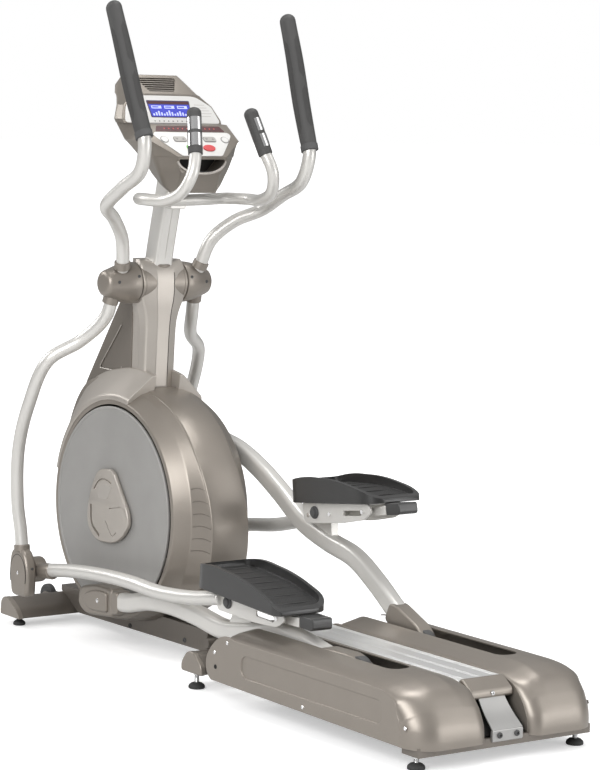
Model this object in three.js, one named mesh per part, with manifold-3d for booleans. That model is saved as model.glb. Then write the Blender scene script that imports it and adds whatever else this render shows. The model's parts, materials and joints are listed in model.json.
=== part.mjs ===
// Commercial elliptical trainer: front drive, swing arms, and pedal arms that roll on rear rails.
// Millimetres, +Z up, +Y the way the user faces, +X the user's right.
// Inside the machine group Y is measured from the line of the rear levelling feet; the group then
// centres the whole on the origin.
import * as THREE from "three";
import { mergeVertices } from "three/addons/utils/BufferGeometryUtils.js";
import Module from "manifold-3d";

const wasm = await Module();
wasm.setup();

// ---------------------------------------------------------------- driving dimensions
const GAP = 0.3; // clearance between pieces that touch
const CRANK = { y: 1558.5, z: 385, radius: 248, tilt: THREE.MathUtils.degToRad(10) };
const PIVOT = { y: CRANK.y, z: 1026 }; // swing-arm shaft on the mast, over the crank
const SWING_JOINT = { y: 281.5, z: -836 }; // lower eye from the pivot, arm at mid-swing
const ARM = { x: 173, length: 1190, width: 44, half: 26 }; // pedal arm, crank pin to roller axle
const PEDAL_PIVOT = { along: 691, up: 98 }; // on the pedal arm, from the crank pin
const LINK = { x: 225, length: 984, tube: 19.5 };
const ROLLER = { z: 168, radius: 34, width: 30, axle: 9 };
const BRACKET = { inner: 121, outer: LINK.x, plate: 6 };
const TUBE = 18.5; // swing-arm tube radius
const DISC = { radius: 292, inner: 122, outer: 130 };
const CASE = { half: 125, opening: DISC.radius + 5, wall: 3.5, ring: DISC.radius + 28 };
const BEAM = { half: 58, bottom: 36, top: 100, rearHalf: 38, rearBottom: 58, rearTop: 108 };
const TRACK = { half: 68, top: 180, rear: 73, front: 860 };
const RAIL = { inner: 69, slotIn: 138, slotOut: 204, outer: 287, rim: 203, low: 57, wall: 3 };
const FEET = { front: { x: 221, y: 1900 }, mid: { x: 227, y: 963 }, rear: { x: 250, y: 0 } };
const STAB = { front: 27, mid: 44, rear: 34, halfFront: 250, halfMid: 250 };
const WHEEL = { x: 66, y: FEET.front.y + 96, z: 58, radius: 34, width: 24, pin: 5 };
const MAST = { width: 58, depth: 60, shaft: 14 };
const BARREL = { radius: 54, half: 74, hubEnd: 161 };
const FLY = { y: CRANK.y + 186.5, z: CRANK.z + 15, radius: 112, half: 20, shaft: 10, pulley: 22 };
const PULLEY = { radius: 150, inner: 56, outer: 74 };
const REAR_END = -53; // rear faces of the rail covers
const FRONT_END = WHEEL.y + WHEEL.radius;
const MIDDLE = (REAR_END + FRONT_END) / 2;

// ---------------------------------------------------------------- finishes
const FINISH = {
  taupe: [0x8b8379, 0.42, 0.35],
  silver: [0xc9c7c3, 0.35, 0.55],
  disc: [0x8f8d8b, 0.55, 0.25],
  black: [0x2b2a2a, 0.75, 0.0],
  steel: [0x9a9a9a, 0.4, 0.9],
  chrome: [0xd5d5d5, 0.12, 1.0],
  face: [0xd9d9d6, 0.45, 0.1],
};

// ---------------------------------------------------------------- solids
function boundary(positions, triangles) {
  const mesh = new wasm.Mesh({ numProp: 3, vertProperties: positions, triVerts: triangles });
  return new wasm.Manifold(mesh);
}

// A three.js geometry as a closed solid, faces outwards.
function solidOf(geometry) {
  const loose = geometry.index ? geometry.toNonIndexed() : geometry;
  const bare = new THREE.BufferGeometry().setAttribute("position", loose.getAttribute("position"));
  const merged = mergeVertices(bare, 1e-4);
  const corners = merged.index.array;
  const kept = [];
  for (let i = 0; i < corners.length; i += 3) {
    const [a, b, c] = [corners[i], corners[i + 1], corners[i + 2]];
    if (a !== b && b !== c && c !== a) kept.push(a, b, c);
  }
  const positions = merged.getAttribute("position").array;
  const solid = boundary(positions, new Uint32Array(kept));
  return solid.volume() < 0 ? boundary(positions, new Uint32Array(kept.reverse())) : solid;
}

function union(...solids) {
  return solids.reduce((all, next) => all.add(next));
}

function cut(solid, ...tools) {
  return tools.reduce((left, tool) => left.subtract(tool), solid);
}

function meshOf(name, solid, finish) {
  const { vertProperties, triVerts } = solid.getMesh();
  const geometry = new THREE.BufferGeometry();
  geometry.setAttribute("position", new THREE.BufferAttribute(new Float32Array(vertProperties), 3));
  geometry.setIndex(new THREE.BufferAttribute(new Uint32Array(triVerts), 1));
  geometry.computeVertexNormals();
  const [color, roughness, metalness] = FINISH[finish];
  const mesh = new THREE.Mesh(geometry, new THREE.MeshStandardMaterial({ color, roughness, metalness }));
  mesh.name = name;
  return mesh;
}

// ---------------------------------------------------------------- outlines and sweeps
// A closed outline; a point's third value rounds its corner.
function outline(points) {
  const shape = new THREE.Shape();
  const count = points.length;
  const at = (i) => new THREE.Vector2(points[(i + count) % count][0], points[(i + count) % count][1]);
  for (let i = 0; i < count; i += 1) {
    const corner = at(i);
    const room = 0.48 * Math.min(corner.distanceTo(at(i - 1)), corner.distanceTo(at(i + 1)));
    const radius = Math.min(points[i][2] ?? 0, room);
    const before = at(i - 1).sub(corner).setLength(radius).add(corner);
    const after = at(i + 1).sub(corner).setLength(radius).add(corner);
    if (i === 0) shape.moveTo(before.x, before.y);
    else shape.lineTo(before.x, before.y);
    if (radius > 0) shape.quadraticCurveTo(corner.x, corner.y, after.x, after.y);
  }
  shape.closePath();
  return shape;
}

function circle(radius, a = 0, b = 0) {
  return new THREE.Shape().absarc(a, b, radius, 0, 2 * Math.PI, false);
}

function ellipse(halfA, halfB) {
  return new THREE.Shape().absellipse(0, 0, halfA, halfB, 0, 2 * Math.PI, false, 0);
}

function box(halfA, halfB, round) {
  const corners = [[-halfA, -halfB, round], [halfA, -halfB, round], [halfA, halfB, round],
    [-halfA, halfB, round]];
  return outline(corners);
}

const SIDE_VIEW = new THREE.Matrix4().makeBasis(
  new THREE.Vector3(0, 1, 0),
  new THREE.Vector3(0, 0, 1),
  new THREE.Vector3(1, 0, 0),
);
const END_VIEW = new THREE.Matrix4().makeBasis(
  new THREE.Vector3(1, 0, 0),
  new THREE.Vector3(0, 0, 1),
  new THREE.Vector3(0, -1, 0),
);

function slab(shape, low, high, bevel, arcs) {
  const options = { depth: high - low - 2 * bevel, bevelEnabled: bevel > 0, curveSegments: arcs };
  Object.assign(options, { bevelSize: bevel, bevelThickness: bevel, bevelOffset: -bevel, bevelSegments: 1 });
  return new THREE.ExtrudeGeometry(shape, options).translate(0, 0, low + bevel);
}

// An outline in Y and Z, between two X values.
function sideways(shape, xA, xB, bevel = 0, arcs = 3) {
  return solidOf(slab(shape, Math.min(xA, xB), Math.max(xA, xB), bevel, arcs).applyMatrix4(SIDE_VIEW));
}

// An outline in X and Z, between two Y values.
function lengthways(shape, yA, yB, bevel = 0, arcs = 3) {
  return solidOf(slab(shape, -Math.max(yA, yB), -Math.min(yA, yB), bevel, arcs).applyMatrix4(END_VIEW));
}

// An outline in X and Y, between two Z values.
function upright(shape, zA, zB, bevel = 0, arcs = 3) {
  return solidOf(slab(shape, Math.min(zA, zB), Math.max(zA, zB), bevel, arcs));
}

function block(xA, xB, yA, yB, zA, zB) {
  const geometry = new THREE.BoxGeometry(Math.abs(xB - xA), yB - yA, zB - zA);
  return solidOf(geometry.translate((xA + xB) / 2, (yA + yB) / 2, (zA + zB) / 2));
}

// A section swept along a smooth curve.
function swept(points, section, steps, arcs = 5) {
  const path = new THREE.CatmullRomCurve3(points.map((p) => new THREE.Vector3(...p)));
  return solidOf(new THREE.ExtrudeGeometry(section, { steps, extrudePath: path, curveSegments: arcs }));
}

// A profile of [radius, x] turned about an axis along X.
function turned(profile, segments, y = 0, z = 0) {
  const points = profile.map(([radius, x]) => new THREE.Vector2(radius, x));
  const closed = profile[0][0] > 0;
  if (closed) points.push(points[0].clone());
  return solidOf(new THREE.LatheGeometry(points, segments).rotateZ(-Math.PI / 2).translate(0, y, z));
}

function shaft(radius, xA, xB, segments = 16, y = 0, z = 0) {
  const geometry = new THREE.CylinderGeometry(radius, radius, Math.abs(xB - xA), segments);
  return solidOf(geometry.rotateZ(Math.PI / 2).translate((xA + xB) / 2, y, z));
}

const sign = { left: -1, right: 1 };
const SIDES = ["left", "right"];

// ---------------------------------------------------------------- linkage, closed at rest
function meeting(a, reachA, b, reachB) {
  const gap = new THREE.Vector2(b.y - a.y, b.z - a.z);
  const span = gap.length();
  const along = (reachA * reachA - reachB * reachB + span * span) / (2 * span);
  const off = Math.sqrt(reachA * reachA - along * along);
  const unit = gap.divideScalar(span);
  return { y: a.y + unit.x * along + unit.y * off, z: a.z + unit.y * along - unit.x * off };
}

// Where each side's pins stand: the right crank pin is up, the left one down.
function linkagePose(side) {
  const up = sign[side];
  const pin = {
    y: CRANK.y + up * CRANK.radius * Math.sin(CRANK.tilt),
    z: CRANK.z + up * CRANK.radius * Math.cos(CRANK.tilt),
  };
  const lift = Math.asin((pin.z - ROLLER.z) / ARM.length);
  const roller = { y: pin.y - ARM.length * Math.cos(lift), z: ROLLER.z };
  const reach = ARM.length - PEDAL_PIVOT.along;
  const pedal = {
    y: roller.y + reach * Math.cos(lift) - PEDAL_PIVOT.up * Math.sin(lift),
    z: roller.z + reach * Math.sin(lift) + PEDAL_PIVOT.up * Math.cos(lift),
  };
  const swingReach = Math.hypot(SWING_JOINT.y, SWING_JOINT.z);
  const eye = meeting(pedal, LINK.length, PIVOT, swingReach);
  const link = Math.atan2(eye.z - pedal.z, eye.y - pedal.y);
  const atRest = Math.atan2(eye.z - PIVOT.z, eye.y - PIVOT.y);
  const swing = atRest - Math.atan2(SWING_JOINT.z, SWING_JOINT.y);
  return { pin, lift, roller, pedal, eye, link, swing };
}

// ---------------------------------------------------------------- stand
function frontSection(grow) {
  const { y } = FEET.front;
  const low = STAB.front;
  const points = [[y - 47, low], [y - 29, 51, 10], [y + 6, 71, 12], [y + 34, 82, 14], [y + 57, 68, 12],
    [y + 60, low, 8]];
  return grownOutline(points, [y + 12, 50], grow);
}

function midSection(grow) {
  const [y, low] = [FEET.mid.y, STAB.mid];
  const half = [[y - 52, low, 8], [y - 50, 68, 14], [y - 13, 99, 14]];
  const points = [...half, [y + 17, 99, 14], [y + 43, 68, 14], [y + 43, low, 8]];
  return grownOutline(points, [y - 5, 70], grow);
}

function grownOutline(points, [midA, midB], grow) {
  const grown = points.map(([a, b, r = 0]) => [a + Math.sign(a - midA) * grow,
    b + Math.sign(b - midB) * grow, r]);
  return outline(grown);
}

function frontStabiliser() {
  let solid = sideways(frontSection(0), -STAB.halfFront, STAB.halfFront, 3);
  const root = FEET.front.y + 50;
  const { y, z } = WHEEL;
  const ear = outline([[root, z - 14], [y, z - 14, 10], [y + 14, z, 10], [y, z + 14, 10], [root, z + 14]]);
  for (const side of SIDES) {
    const x = sign[side] * WHEEL.x;
    const reach = WHEEL.width / 2 + 1;
    const pin = shaft(WHEEL.pin, x - reach - 2, x + reach + 2, 12, WHEEL.y, WHEEL.z);
    solid = union(solid, sideways(ear, x - reach - 4, x - reach), sideways(ear, x + reach, x + reach + 4),
      pin);
  }
  return solid;
}

function foot(height) {
  const pad = [[0, 0], [18, 0], [18, 8], [13, 13], [7, 14], [7, height - GAP]];
  const points = [...pad, [0, height - GAP]].map(([r, z]) => new THREE.Vector2(r, z));
  return solidOf(new THREE.LatheGeometry(points, 10).rotateX(Math.PI / 2));
}

function mainFrame() {
  const [knee, nose, low] = [FEET.mid.y + 202, FEET.front.y + 35, BEAM.bottom];
  const front = outline([[knee, low + 4, 8], [nose - 95, low - 4, 10], [nose, 84], [nose, BEAM.top],
    [knee, BEAM.top, 8]]);
  const beam = sideways(front, -BEAM.half, BEAM.half);
  const rear = block(-BEAM.rearHalf, BEAM.rearHalf, 52, knee + 5, BEAM.rearBottom, BEAM.rearTop - GAP);
  const tower = block(-30, 30, PIVOT.y - 30, PIVOT.y + 30, BEAM.top - 2, PIVOT.z - 266);
  const shell = shaft(32, -50, 50, 20, CRANK.y, CRANK.z);
  const knuckle = shaft(14, -BEAM.half - 8, BEAM.half + 8, 14, knee - 5, 68);
  const root = BEAM.top - 5;
  const fork = outline([[FLY.y - 50, root], [FLY.y + 55, root], [FLY.y + 24, FLY.z + 4, 22],
    [FLY.y, FLY.z + 30, 18],
    [FLY.y - 24, FLY.z + 4, 22]]);
  const cheeks = [sideways(fork, 28, 36), sideways(fork, -36, -28)];
  const all = union(beam, rear, tower, shell, knuckle, ...cheeks);
  const crankBore = shaft(15 + GAP, -60, 60, 20, CRANK.y, CRANK.z);
  const flyBore = shaft(FLY.shaft + GAP, -40, 40, 16, FLY.y, FLY.z);
  const seatFront = sideways(frontSection(GAP + 0.1), -STAB.halfFront - 5, STAB.halfFront + 5);
  const seatMid = sideways(midSection(GAP + 0.1), -STAB.halfMid - 5, STAB.halfMid + 5);
  return cut(all, crankBore, flyBore, seatFront, seatMid);
}

function rearFrame() {
  const bedTop = ROLLER.z - ROLLER.radius - GAP;
  const bar = block(-270, 270, -32, 32, STAB.rear, RAIL.low - GAP);
  const tongue = block(-BEAM.rearHalf, BEAM.rearHalf, -32, 300, STAB.rear + 12, BEAM.rearBottom - GAP);
  const brace = block(-198, 198, 700, 740, STAB.rear + 12, BEAM.rearBottom - GAP);
  let all = union(bar, tongue, brace);
  for (const side of SIDES) {
    const [a, b] = [sign[side] * 148, sign[side] * 198];
    const bed = block(a, b, 0, 752, bedTop - 16, bedTop);
    const rearLeg = block(a, b, 0, 30, 50, bedTop - 14);
    const frontLeg = block(a, b, 702, 738, 50, bedTop - 14);
    all = union(all, bed, rearLeg, frontLeg);
  }
  return all;
}

function centreTrack() {
  const { half, top } = TRACK;
  const low = BEAM.rearTop;
  const points = [[-half, low], [half, low], [half, top - 6, 3], [half - 3, top]];
  const ribs = 8;
  const pitch = (2 * half - 20) / ribs;
  for (let i = 0; i < ribs; i += 1) {
    const x = half - 10 - i * pitch;
    points.push([x - 2, top], [x - 4, top - 3], [x - pitch + 6, top - 3], [x - pitch + 4, top]);
  }
  points.push([3 - half, top], [-half, top - 6, 3]);
  const section = outline(points);
  section.holes.push(outline([[-half + 4, low + 4], [-half + 4, top - 8], [half - 4, top - 8],
    [half - 4, low + 4]]));
  return lengthways(section, TRACK.rear, TRACK.front);
}

function rearEndCap() {
  const face = [[TRACK.rear - GAP, 183], [60, 183, 3], [52, 130, 12], [34, 84, 18], [4, 64, 8], [-42, 62],
    [-42, 61]];
  const outer = sideways(outline([...face, [TRACK.rear - GAP, 61]]), -66, 66, 0, 3);
  const inner = [[TRACK.rear + 1, 178], [64, 178], [56, 128, 12], [38, 90, 18], [30, 60],
    [TRACK.rear + 1, 60]];
  return cut(outer, sideways(outline(inner), -62, 62, 0, 3));
}

// Rail cover: a shell cut out by its three views, open below, in front and along the roller slot.
function railHull(inset, side) {
  const s = sign[side];
  const { inner, outer, rim } = RAIL;
  const low = inset > 0 ? 30 : RAIL.low;
  const end = outline([
    [s * (inner + inset), low], [s * (inner + inset), 181 - inset], [s * 137, rim - inset, 6],
    [s * 206, rim - inset, 14], [s * (outer - 34), 195 - inset, 14], [s * (outer - inset), 180 - inset, 10],
    [s * (outer - inset), low],
  ]);
  const rear = REAR_END + inset;
  const front = TRACK.front + (inset > 0 ? 40 : -24);
  const high = rim + 6;
  const profile = outline([
    [rear, low], [rear, 104, 40], [rear + 62, 190 - inset, 60], [150, high - inset, 60],
    [front - 118, high - inset, 30],
    [front - 44, 170 - inset, 24], [front, 122, 24], [front - 2, 82, 16], [front - 28, low],
  ]);
  const plan = outline([
    [s * (inner + inset), rear, 34], [s * (inner + inset), front], [s * (outer - inset),
    front, inset > 0 ? 0 : 18],
    [s * (outer - inset), rear, 74],
  ]);
  const across = lengthways(end, rear, front, 0, 3);
  const along = sideways(profile, s * 60, s * 295, 0, 4);
  return across.intersect(along).intersect(upright(plan, low - 5, 230, 0, 5));
}

function railCover(side) {
  const s = sign[side];
  const shell = cut(railHull(0, side), railHull(RAIL.wall, side));
  const slot = outline([
    [s * RAIL.slotIn, 156, 14], [s * RAIL.slotOut, 156, 14], [s * RAIL.slotOut, 900], [s * RAIL.slotIn, 900],
  ]);
  const passage = block(s * 60, s * 76, REAR_END + 40, 900, 20, 122);
  const panel = outline([[62, 92, 26], [690, 92, 26], [690, 148, 26], [62, 148, 26]]);
  const sunk = sideways(panel, s * (RAIL.outer - 1.2), s * (RAIL.outer + 10));
  return cut(shell, upright(slot, 185, 240), passage, sunk);
}

// ---------------------------------------------------------------- shroud
// Radius of the centre outline, by angle from the front, turning up.
const CENTRE_RADII = [
  [0, 385], [30, 408], [52, 424], [75, 386], [97, 352], [135, 350], [180, 350], [215, 346], [250, 335],
  [270, 333],
  [292, 338], [315, 370], [340, 385],
];

function centreOutline(grow) {
  const knots = CENTRE_RADII.map(([degrees, radius]) => {
    const angle = THREE.MathUtils.degToRad(degrees);
    const reach = radius + grow;
    return new THREE.Vector3(CRANK.y + reach * Math.cos(angle), CRANK.z + reach * Math.sin(angle), 0);
  });
  const curve = new THREE.CatmullRomCurve3(knots, true);
  return new THREE.Shape(curve.getPoints(30).slice(0, -1).map((p) => new THREE.Vector2(p.x, p.y)));
}

// Both cases as one lump: the centre outline narrowed towards the disc by a turned profile.
function caseHull(grow, from, to) {
  const side = Math.sign(from + to) || 1;
  const { ring, half } = CASE;
  const profile = [
    [0, -4], [ring + 120 + grow, -4], [ring + 120 + grow, half - 63 + grow],
    [ring + 38 + grow, half - 41 + grow],
    [ring + 14 + grow, half - 9 + grow], [ring + 5 + grow, half - 2 + grow], [ring + grow, half + grow],
    [0, half + grow],
  ];
  const body = turned(profile.map(([r, x]) => [r, side * x]), 32, CRANK.y, CRANK.z);
  return body.intersect(sideways(centreOutline(grow), from, to));
}

function sideCase(side) {
  const s = sign[side];
  const outer = caseHull(0, s * GAP, s * CASE.half);
  const inner = caseHull(-CASE.wall, s * -1, s * CASE.half);
  const innerWide = union(inner, sideways(centreOutline(-CASE.wall), s * -2, s * 2));
  const opening = shaft(CASE.opening, s * 100, s * (CASE.half + 5), 40, CRANK.y, CRANK.z);
  const mastWay = block(-31, 31, PIVOT.y - 31, PIVOT.y + 31, 600, 900);
  const beamWay = block(-BEAM.half - GAP, BEAM.half + GAP, CRANK.y - 450, CRANK.y + 450, 20, BEAM.top + GAP);
  const forkWay = block(-37, 37, FLY.y - 65, FLY.y + 70, BEAM.top - 10, BEAM.top + 25);
  return cut(outer, innerWide, opening, mastWay, beamWay, forkWay);
}

// The room both cases take, with clearance.
function caseRoom() {
  return union(caseHull(GAP, -3, 130), caseHull(GAP, 3, -130));
}

function spineOutline(inset) {
  const { y, z } = CRANK;
  const i = inset;
  return outline([
    [y - 118.5, z + 315], [y - 206.5 + i, z + 270, 30], [y - 283.5 + i, z + 200, 60],
    [y - 353.5 + i, z + 105, 60], [y - 400.5 + i, z - 5, 60], [y - 412.5 + i, z - 100, 30],
    [y - 408.5 + i, z - 153 + i, 24], [y - 296.5, z - 181 + i, 20], [y - 238.5, z - 181 + i],
    [y - 238.5, z + 175],
  ]);
}

function spineCover() {
  const outer = sideways(spineOutline(0), -62, 62, 9, 3);
  const inner = sideways(spineOutline(3), -58, 58, 8, 3);
  return cut(outer, inner, caseRoom());
}

// ---------------------------------------------------------------- drive
function crankAxle() {
  return shaft(15, -DISC.outer, DISC.outer, 20);
}

function crankArm(side) {
  const s = sign[side];
  const r = CRANK.radius;
  const bar = outline([[-40, -38, 34], [38, -38, 30], [30, r + 20, 26], [-30, r + 20, 26]]);
  const pin = shaft(13, s * 110, s * (ARM.x - ARM.width / 2 - 1), 16, 0, r);
  return cut(union(sideways(bar, s * 100, s * 118, 2), pin), shaft(15 + GAP, -130, 130, 20));
}

function disc(side) {
  const s = sign[side];
  const { radius, inner, outer } = DISC;
  const profile = [
    [15 + GAP, inner], [radius, inner], [radius, outer - 2], [radius - 3, outer], [radius - 9, outer],
    [radius - 12, outer - 1.5], [15 + GAP, outer - 0.4],
  ];
  const face = turned(profile.map(([r, x]) => [r, s * x]), 36);
  return cut(face, shaft(13 + GAP, s * 100, s * 140, 16, 0, CRANK.radius));
}

// Hub cover: a rounded shield, narrow at the top, with a curved slot.
function hubCover(side) {
  const s = sign[side];
  const shield = outline([
    [-33, 120, 16], [30, 118, 20], [62, 76, 30], [102, -4, 40], [92, -66, 34], [50, -96, 30], [-30, -97, 34],
    [-100, -78, 34], [-126, -14, 30],
  ]);
  const slot = outline([[52, -6, 8], [74, -26, 10], [54, -76, 14], [38, -60, 8]]);
  const low = s * (DISC.outer + GAP);
  const cap = sideways(shield, low, s * (DISC.outer + 16), 6, 3);
  return cut(cap, sideways(slot, s * (DISC.outer + 8), s * (DISC.outer + 30)));
}

function drivePulley() {
  const { radius, inner, outer } = PULLEY;
  const mid = (inner + outer) / 2;
  const profile = [
    [15 + GAP, inner - 4], [32, inner - 4], [32, mid - 3], [radius - 16, mid - 3], [radius - 12, inner],
    [radius, inner],
    [radius, outer], [radius - 12, outer], [radius - 16, mid + 3], [32, mid + 3], [32, outer + 4],
    [15 + GAP, outer + 4],
  ];
  return turned(profile, 32);
}

// The belt's loop about both pulleys, at a given height off their rims.
function beltLoop(off) {
  const big = PULLEY.radius + off;
  const small = FLY.pulley + off;
  const across = new THREE.Vector2(FLY.y - CRANK.y, FLY.z - CRANK.z);
  const lean = Math.acos((big - small) / across.length());
  const aim = across.angle();
  const shape = new THREE.Shape();
  shape.absarc(0, 0, big, aim + lean, aim - lean + 2 * Math.PI, false);
  shape.absarc(across.x, across.y, small, aim - lean, aim + lean, false);
  shape.closePath();
  return shape;
}

function driveBelt() {
  const inside = sideways(beltLoop(GAP + 0.8), PULLEY.inner, PULLEY.outer, 0, 12);
  return cut(sideways(beltLoop(GAP + 4.5), PULLEY.inner + 2, PULLEY.outer - 2, 0, 12), inside);
}

function flywheel() {
  const { radius, half, shaft: r, pulley } = FLY;
  const profile = [
    [0, -44], [r, -44], [r, 8 - half], [radius - 30, 8 - half], [radius - 26, -half], [radius, -half],
    [radius, half], [radius - 26, half], [radius - 30, half - 8], [r, half - 8], [r, PULLEY.inner],
    [pulley, PULLEY.inner], [pulley, PULLEY.outer], [0, PULLEY.outer],
  ];
  return turned(profile, 20);
}

// ---------------------------------------------------------------- mast
const MAST_LINE = [
  [PIVOT.y, PIVOT.z - 266 + GAP], [PIVOT.y, PIVOT.z - 146], [PIVOT.y - 1, PIVOT.z - 36],
  [PIVOT.y - 18.5, PIVOT.z + 74],
  [PIVOT.y - 53.5, PIVOT.z + 224], [PIVOT.y - 88.5, PIVOT.z + 374], [PIVOT.y - 94.5, PIVOT.z + 402],
];
const HEAD = { y: PIVOT.y - 94.5, z: PIVOT.z + 402 }; // the console stands on the mast's top

function mastTube(grow) {
  const points = MAST_LINE.map(([y, z]) => [0, y, z]);
  return swept(points, box(MAST.width / 2 + grow, MAST.depth / 2 + grow, 14), 12, 2);
}

function mast() {
  const collar = shaft(30, -BARREL.half, BARREL.half, 16, PIVOT.y, PIVOT.z);
  const pin = shaft(MAST.shaft, -150, 150, 16, PIVOT.y, PIVOT.z);
  return union(mastTube(0), collar, pin);
}

function barrel() {
  const { radius, half } = BARREL;
  const body = [[0, -half], [radius - 2, -half], [radius, 2 - half], [radius, half - 2],
    [radius - 2, half], [0, half]];
  const way = shaft(30 + GAP, -half - 1, half + 1, 16, PIVOT.y, PIVOT.z);
  return cut(turned(body, 24, PIVOT.y, PIVOT.z), mastTube(GAP), way);
}

// The rear column in plan, and its leaning rear face up to a roof above the barrel.
function rearColumn(inset, from) {
  const [i, { y, z }] = [inset, PIVOT];
  const half = [[56 - i, y + 42 + i], [56 - i, y - 32, 6], [44 - i, y - 50 + i, 4], [18 - i / 2, y - 60 + i]];
  const other = half.map(([x, b, r]) => [-x, b, r]).reverse();
  const plan = upright(outline([...half, ...other]), from, z + 80);
  const side = outline([
    [y - 45.5 + i, from], [y - 58.5 + i, z - 50], [y - 58.5 + i, z + 52 - i, 6], [y - 40, z + 66 - i, 10],
    [y + 42 + i, z + 66 - i], [y + 42 + i, from],
  ]);
  return plan.intersect(sideways(side, -70, 70));
}

function mastCover(shell) {
  const barrelWay = shaft(BARREL.radius + GAP, -90, 90, 24, PIVOT.y, PIVOT.z);
  return cut(shell, barrelWay, caseRoom(), mastTube(GAP));
}

function rearMastCover() {
  return mastCover(cut(rearColumn(0, 690), rearColumn(4, 680)));
}

function frontMastCover() {
  const { y, z } = PIVOT;
  const line = (i) => {
    const back = y + 41.5 + GAP - (i > 0 ? 5 : 0);
    return outline([
      [back, z - 16], [y + 81.5 - i, z - 26 - i, 20], [y + 111.5 - i, z - 74 - i, 16],
      [y + 287.5 - i, z - 326, 30],
      [y + 287.5 - i, z - 386], [back, z - 386],
    ]);
  };
  const outer = sideways(line(0), -56, 56, 6, 3);
  const inner = sideways(line(5), -51, 51, 5, 3);
  const panel = outline([
    [y + 91.5, z - 126, 8], [y + 105.5, z - 146, 8], [y + 201.5, z - 256, 8], [y + 91.5, z - 256, 8],
  ]);
  const sunk = [sideways(panel, -60, -54), sideways(panel, 54, 60)];
  return mastCover(cut(outer, inner, ...sunk));
}

const HANDRAIL = { radius: 16.5, z: PIVOT.z + 237, middle: PIVOT.y - 105.3 };
const RAIL_END = { x: 111.4, y: PIVOT.y - 352.2, z: PIVOT.z + 396 };
const RAIL_HALF = [
  [78, -106.5, 239], [146, -134.5, 244], [172, -202.5, 245], [158, -280.5, 247], [148, -346.5, 272],
  [132, -373.5, 326], [114, -357.5, 383],
].map(([x, y, z]) => [x, PIVOT.y + y, PIVOT.z + z]);

// The rail lies on the mast's rear face; its ends go up inside the pulse grips.
function handrail(grow = 0) {
  const { radius, z, middle } = HANDRAIL;
  const end = [RAIL_END.x - 0.2 * grow, RAIL_END.y + 0.4 * grow, RAIL_END.z + grow];
  const right = [...RAIL_HALF, end];
  const left = right.map(([x, y, z]) => [-x, y, z]).reverse();
  return swept([...left, [0, middle, z], ...right], circle(radius + grow), 30);
}

// A straight hand hold along a line, its free end rounded.
function hold(points, halfA, halfB, steps) {
  const top = points[points.length - 1];
  const dome = new THREE.SphereGeometry(1, 10, 5).scale(halfA, halfB, halfA * 0.9).translate(...top);
  return union(swept(points, ellipse(halfA, halfB), steps), solidOf(dome));
}

function pulseGrip(side) {
  const s = sign[side];
  const start = new THREE.Vector3(s * 115.6, RAIL_END.y - 7.7, RAIL_END.z - 20);
  const end = new THREE.Vector3(s * 94, RAIL_END.y + 36.7, RAIL_END.z + 88);
  const mid = start.clone().lerp(end, 0.5);
  const sleeve = hold([start.toArray(), mid.toArray(), end.toArray()], 20, 20, 2);
  return cut(sleeve, handrail(GAP));
}

// ---------------------------------------------------------------- console
const FACE_LINE = [[HEAD.y - 70, HEAD.z + 8], [HEAD.y - 56, HEAD.z + 32], [HEAD.y + 46, HEAD.z + 60],
  [HEAD.y + 52, HEAD.z + 118]];

function consoleHousing() {
  const { y, z } = HEAD;
  const profile = outline([
    [y - 76, z - 136, 6], [y - 80, z + 2, 8], ...FACE_LINE, [y + 66, z + 128, 4], [y + 156, z + 178, 14],
    [y + 180, z + 160, 14], [y + 136, z + 62, 30], [y + 81, z - 36, 20], [y + 64, z - 118, 20],
    [y + 16, z - 136],
  ]);
  const half = [
    [84, z - 136, 10], [138, z - 78, 20], [170, z + 4, 16], [158, z + 68, 16], [140, z + 120, 16],
    [100, z + 182],
  ];
  const other = half.map(([x, z, r]) => [-x, z, r]).reverse();
  const front = lengthways(outline([...half, ...other]), y - 94, y + 196, 0, 3);
  const body = sideways(profile, -175, 175, 0, 3).intersect(front);
  const tray = outline([[-108, z - 76, 8], [108, z - 76, 8], [112, z - 44, 8], [-112, z - 44, 8]]);
  const cavity = sideways(outline([
    [y - 24, z - 128], [y - 36, z + 12], [y + 61, z + 47], [y + 66, z + 107], [y + 146, z + 157],
    [y + 121, z + 62],
    [y + 71, z - 28], [y + 54, z - 110],
  ]), -70, 70);
  return cut(body, lengthways(tray, y - 94, y - 40), cavity, mastTube(GAP));
}

function consoleFace() {
  const { y, z } = HEAD;
  const lift = (d) => FACE_LINE.map(([y, z], i) => [y - d * (i > 1 ? 0.95 : 0.55),
    z + d * (i > 1 ? 0.35 : 0.85)]);
  const sheet = outline([...lift(GAP), ...lift(3).reverse()]);
  const half = [[96, z - 2, 10], [138, z + 24], [138, z + 46, 4], [112, z + 72, 8], [96, z + 124]];
  const other = half.map(([x, z, r]) => [-x, z, r]).reverse();
  return sideways(sheet, -150, 150).intersect(lengthways(outline([...half, ...other]), y - 84, y + 66, 0, 3));
}

// ---------------------------------------------------------------- swing arms, from the pivot at mid-swing
const UPPER_LINE = [
  [122, -12, 20], [128, -30, 46], [146, -56, 124], [196, -94, 182], [252, -143, 218], [258, -232, 268],
  [257, -322, 316],
  [260, -347, 392],
];
const HANDLE_TOP = { x: 261.5, y: -336, z: 430 };
const GRIP_LINE = [[261, -346.3, 406], [263, -293, 526], [265, -245, 649], [265.5, -201, 752]];
const LOWER_LINE = [
  [138, 3, -24], [148, 24, -94], [190, 88, -164], [262, 148, -222], [287, 214, -352], [282, 280, -488],
  [274, 298, -643],
  [268, 291, -720], [267, 286, -771],
];

function placed(line, s) {
  return line.map(([x, y, z]) => [s * x, y, z]);
}

function hubWay(s) {
  return shaft(BARREL.radius + GAP, s * 60, s * 190, 24);
}

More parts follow.
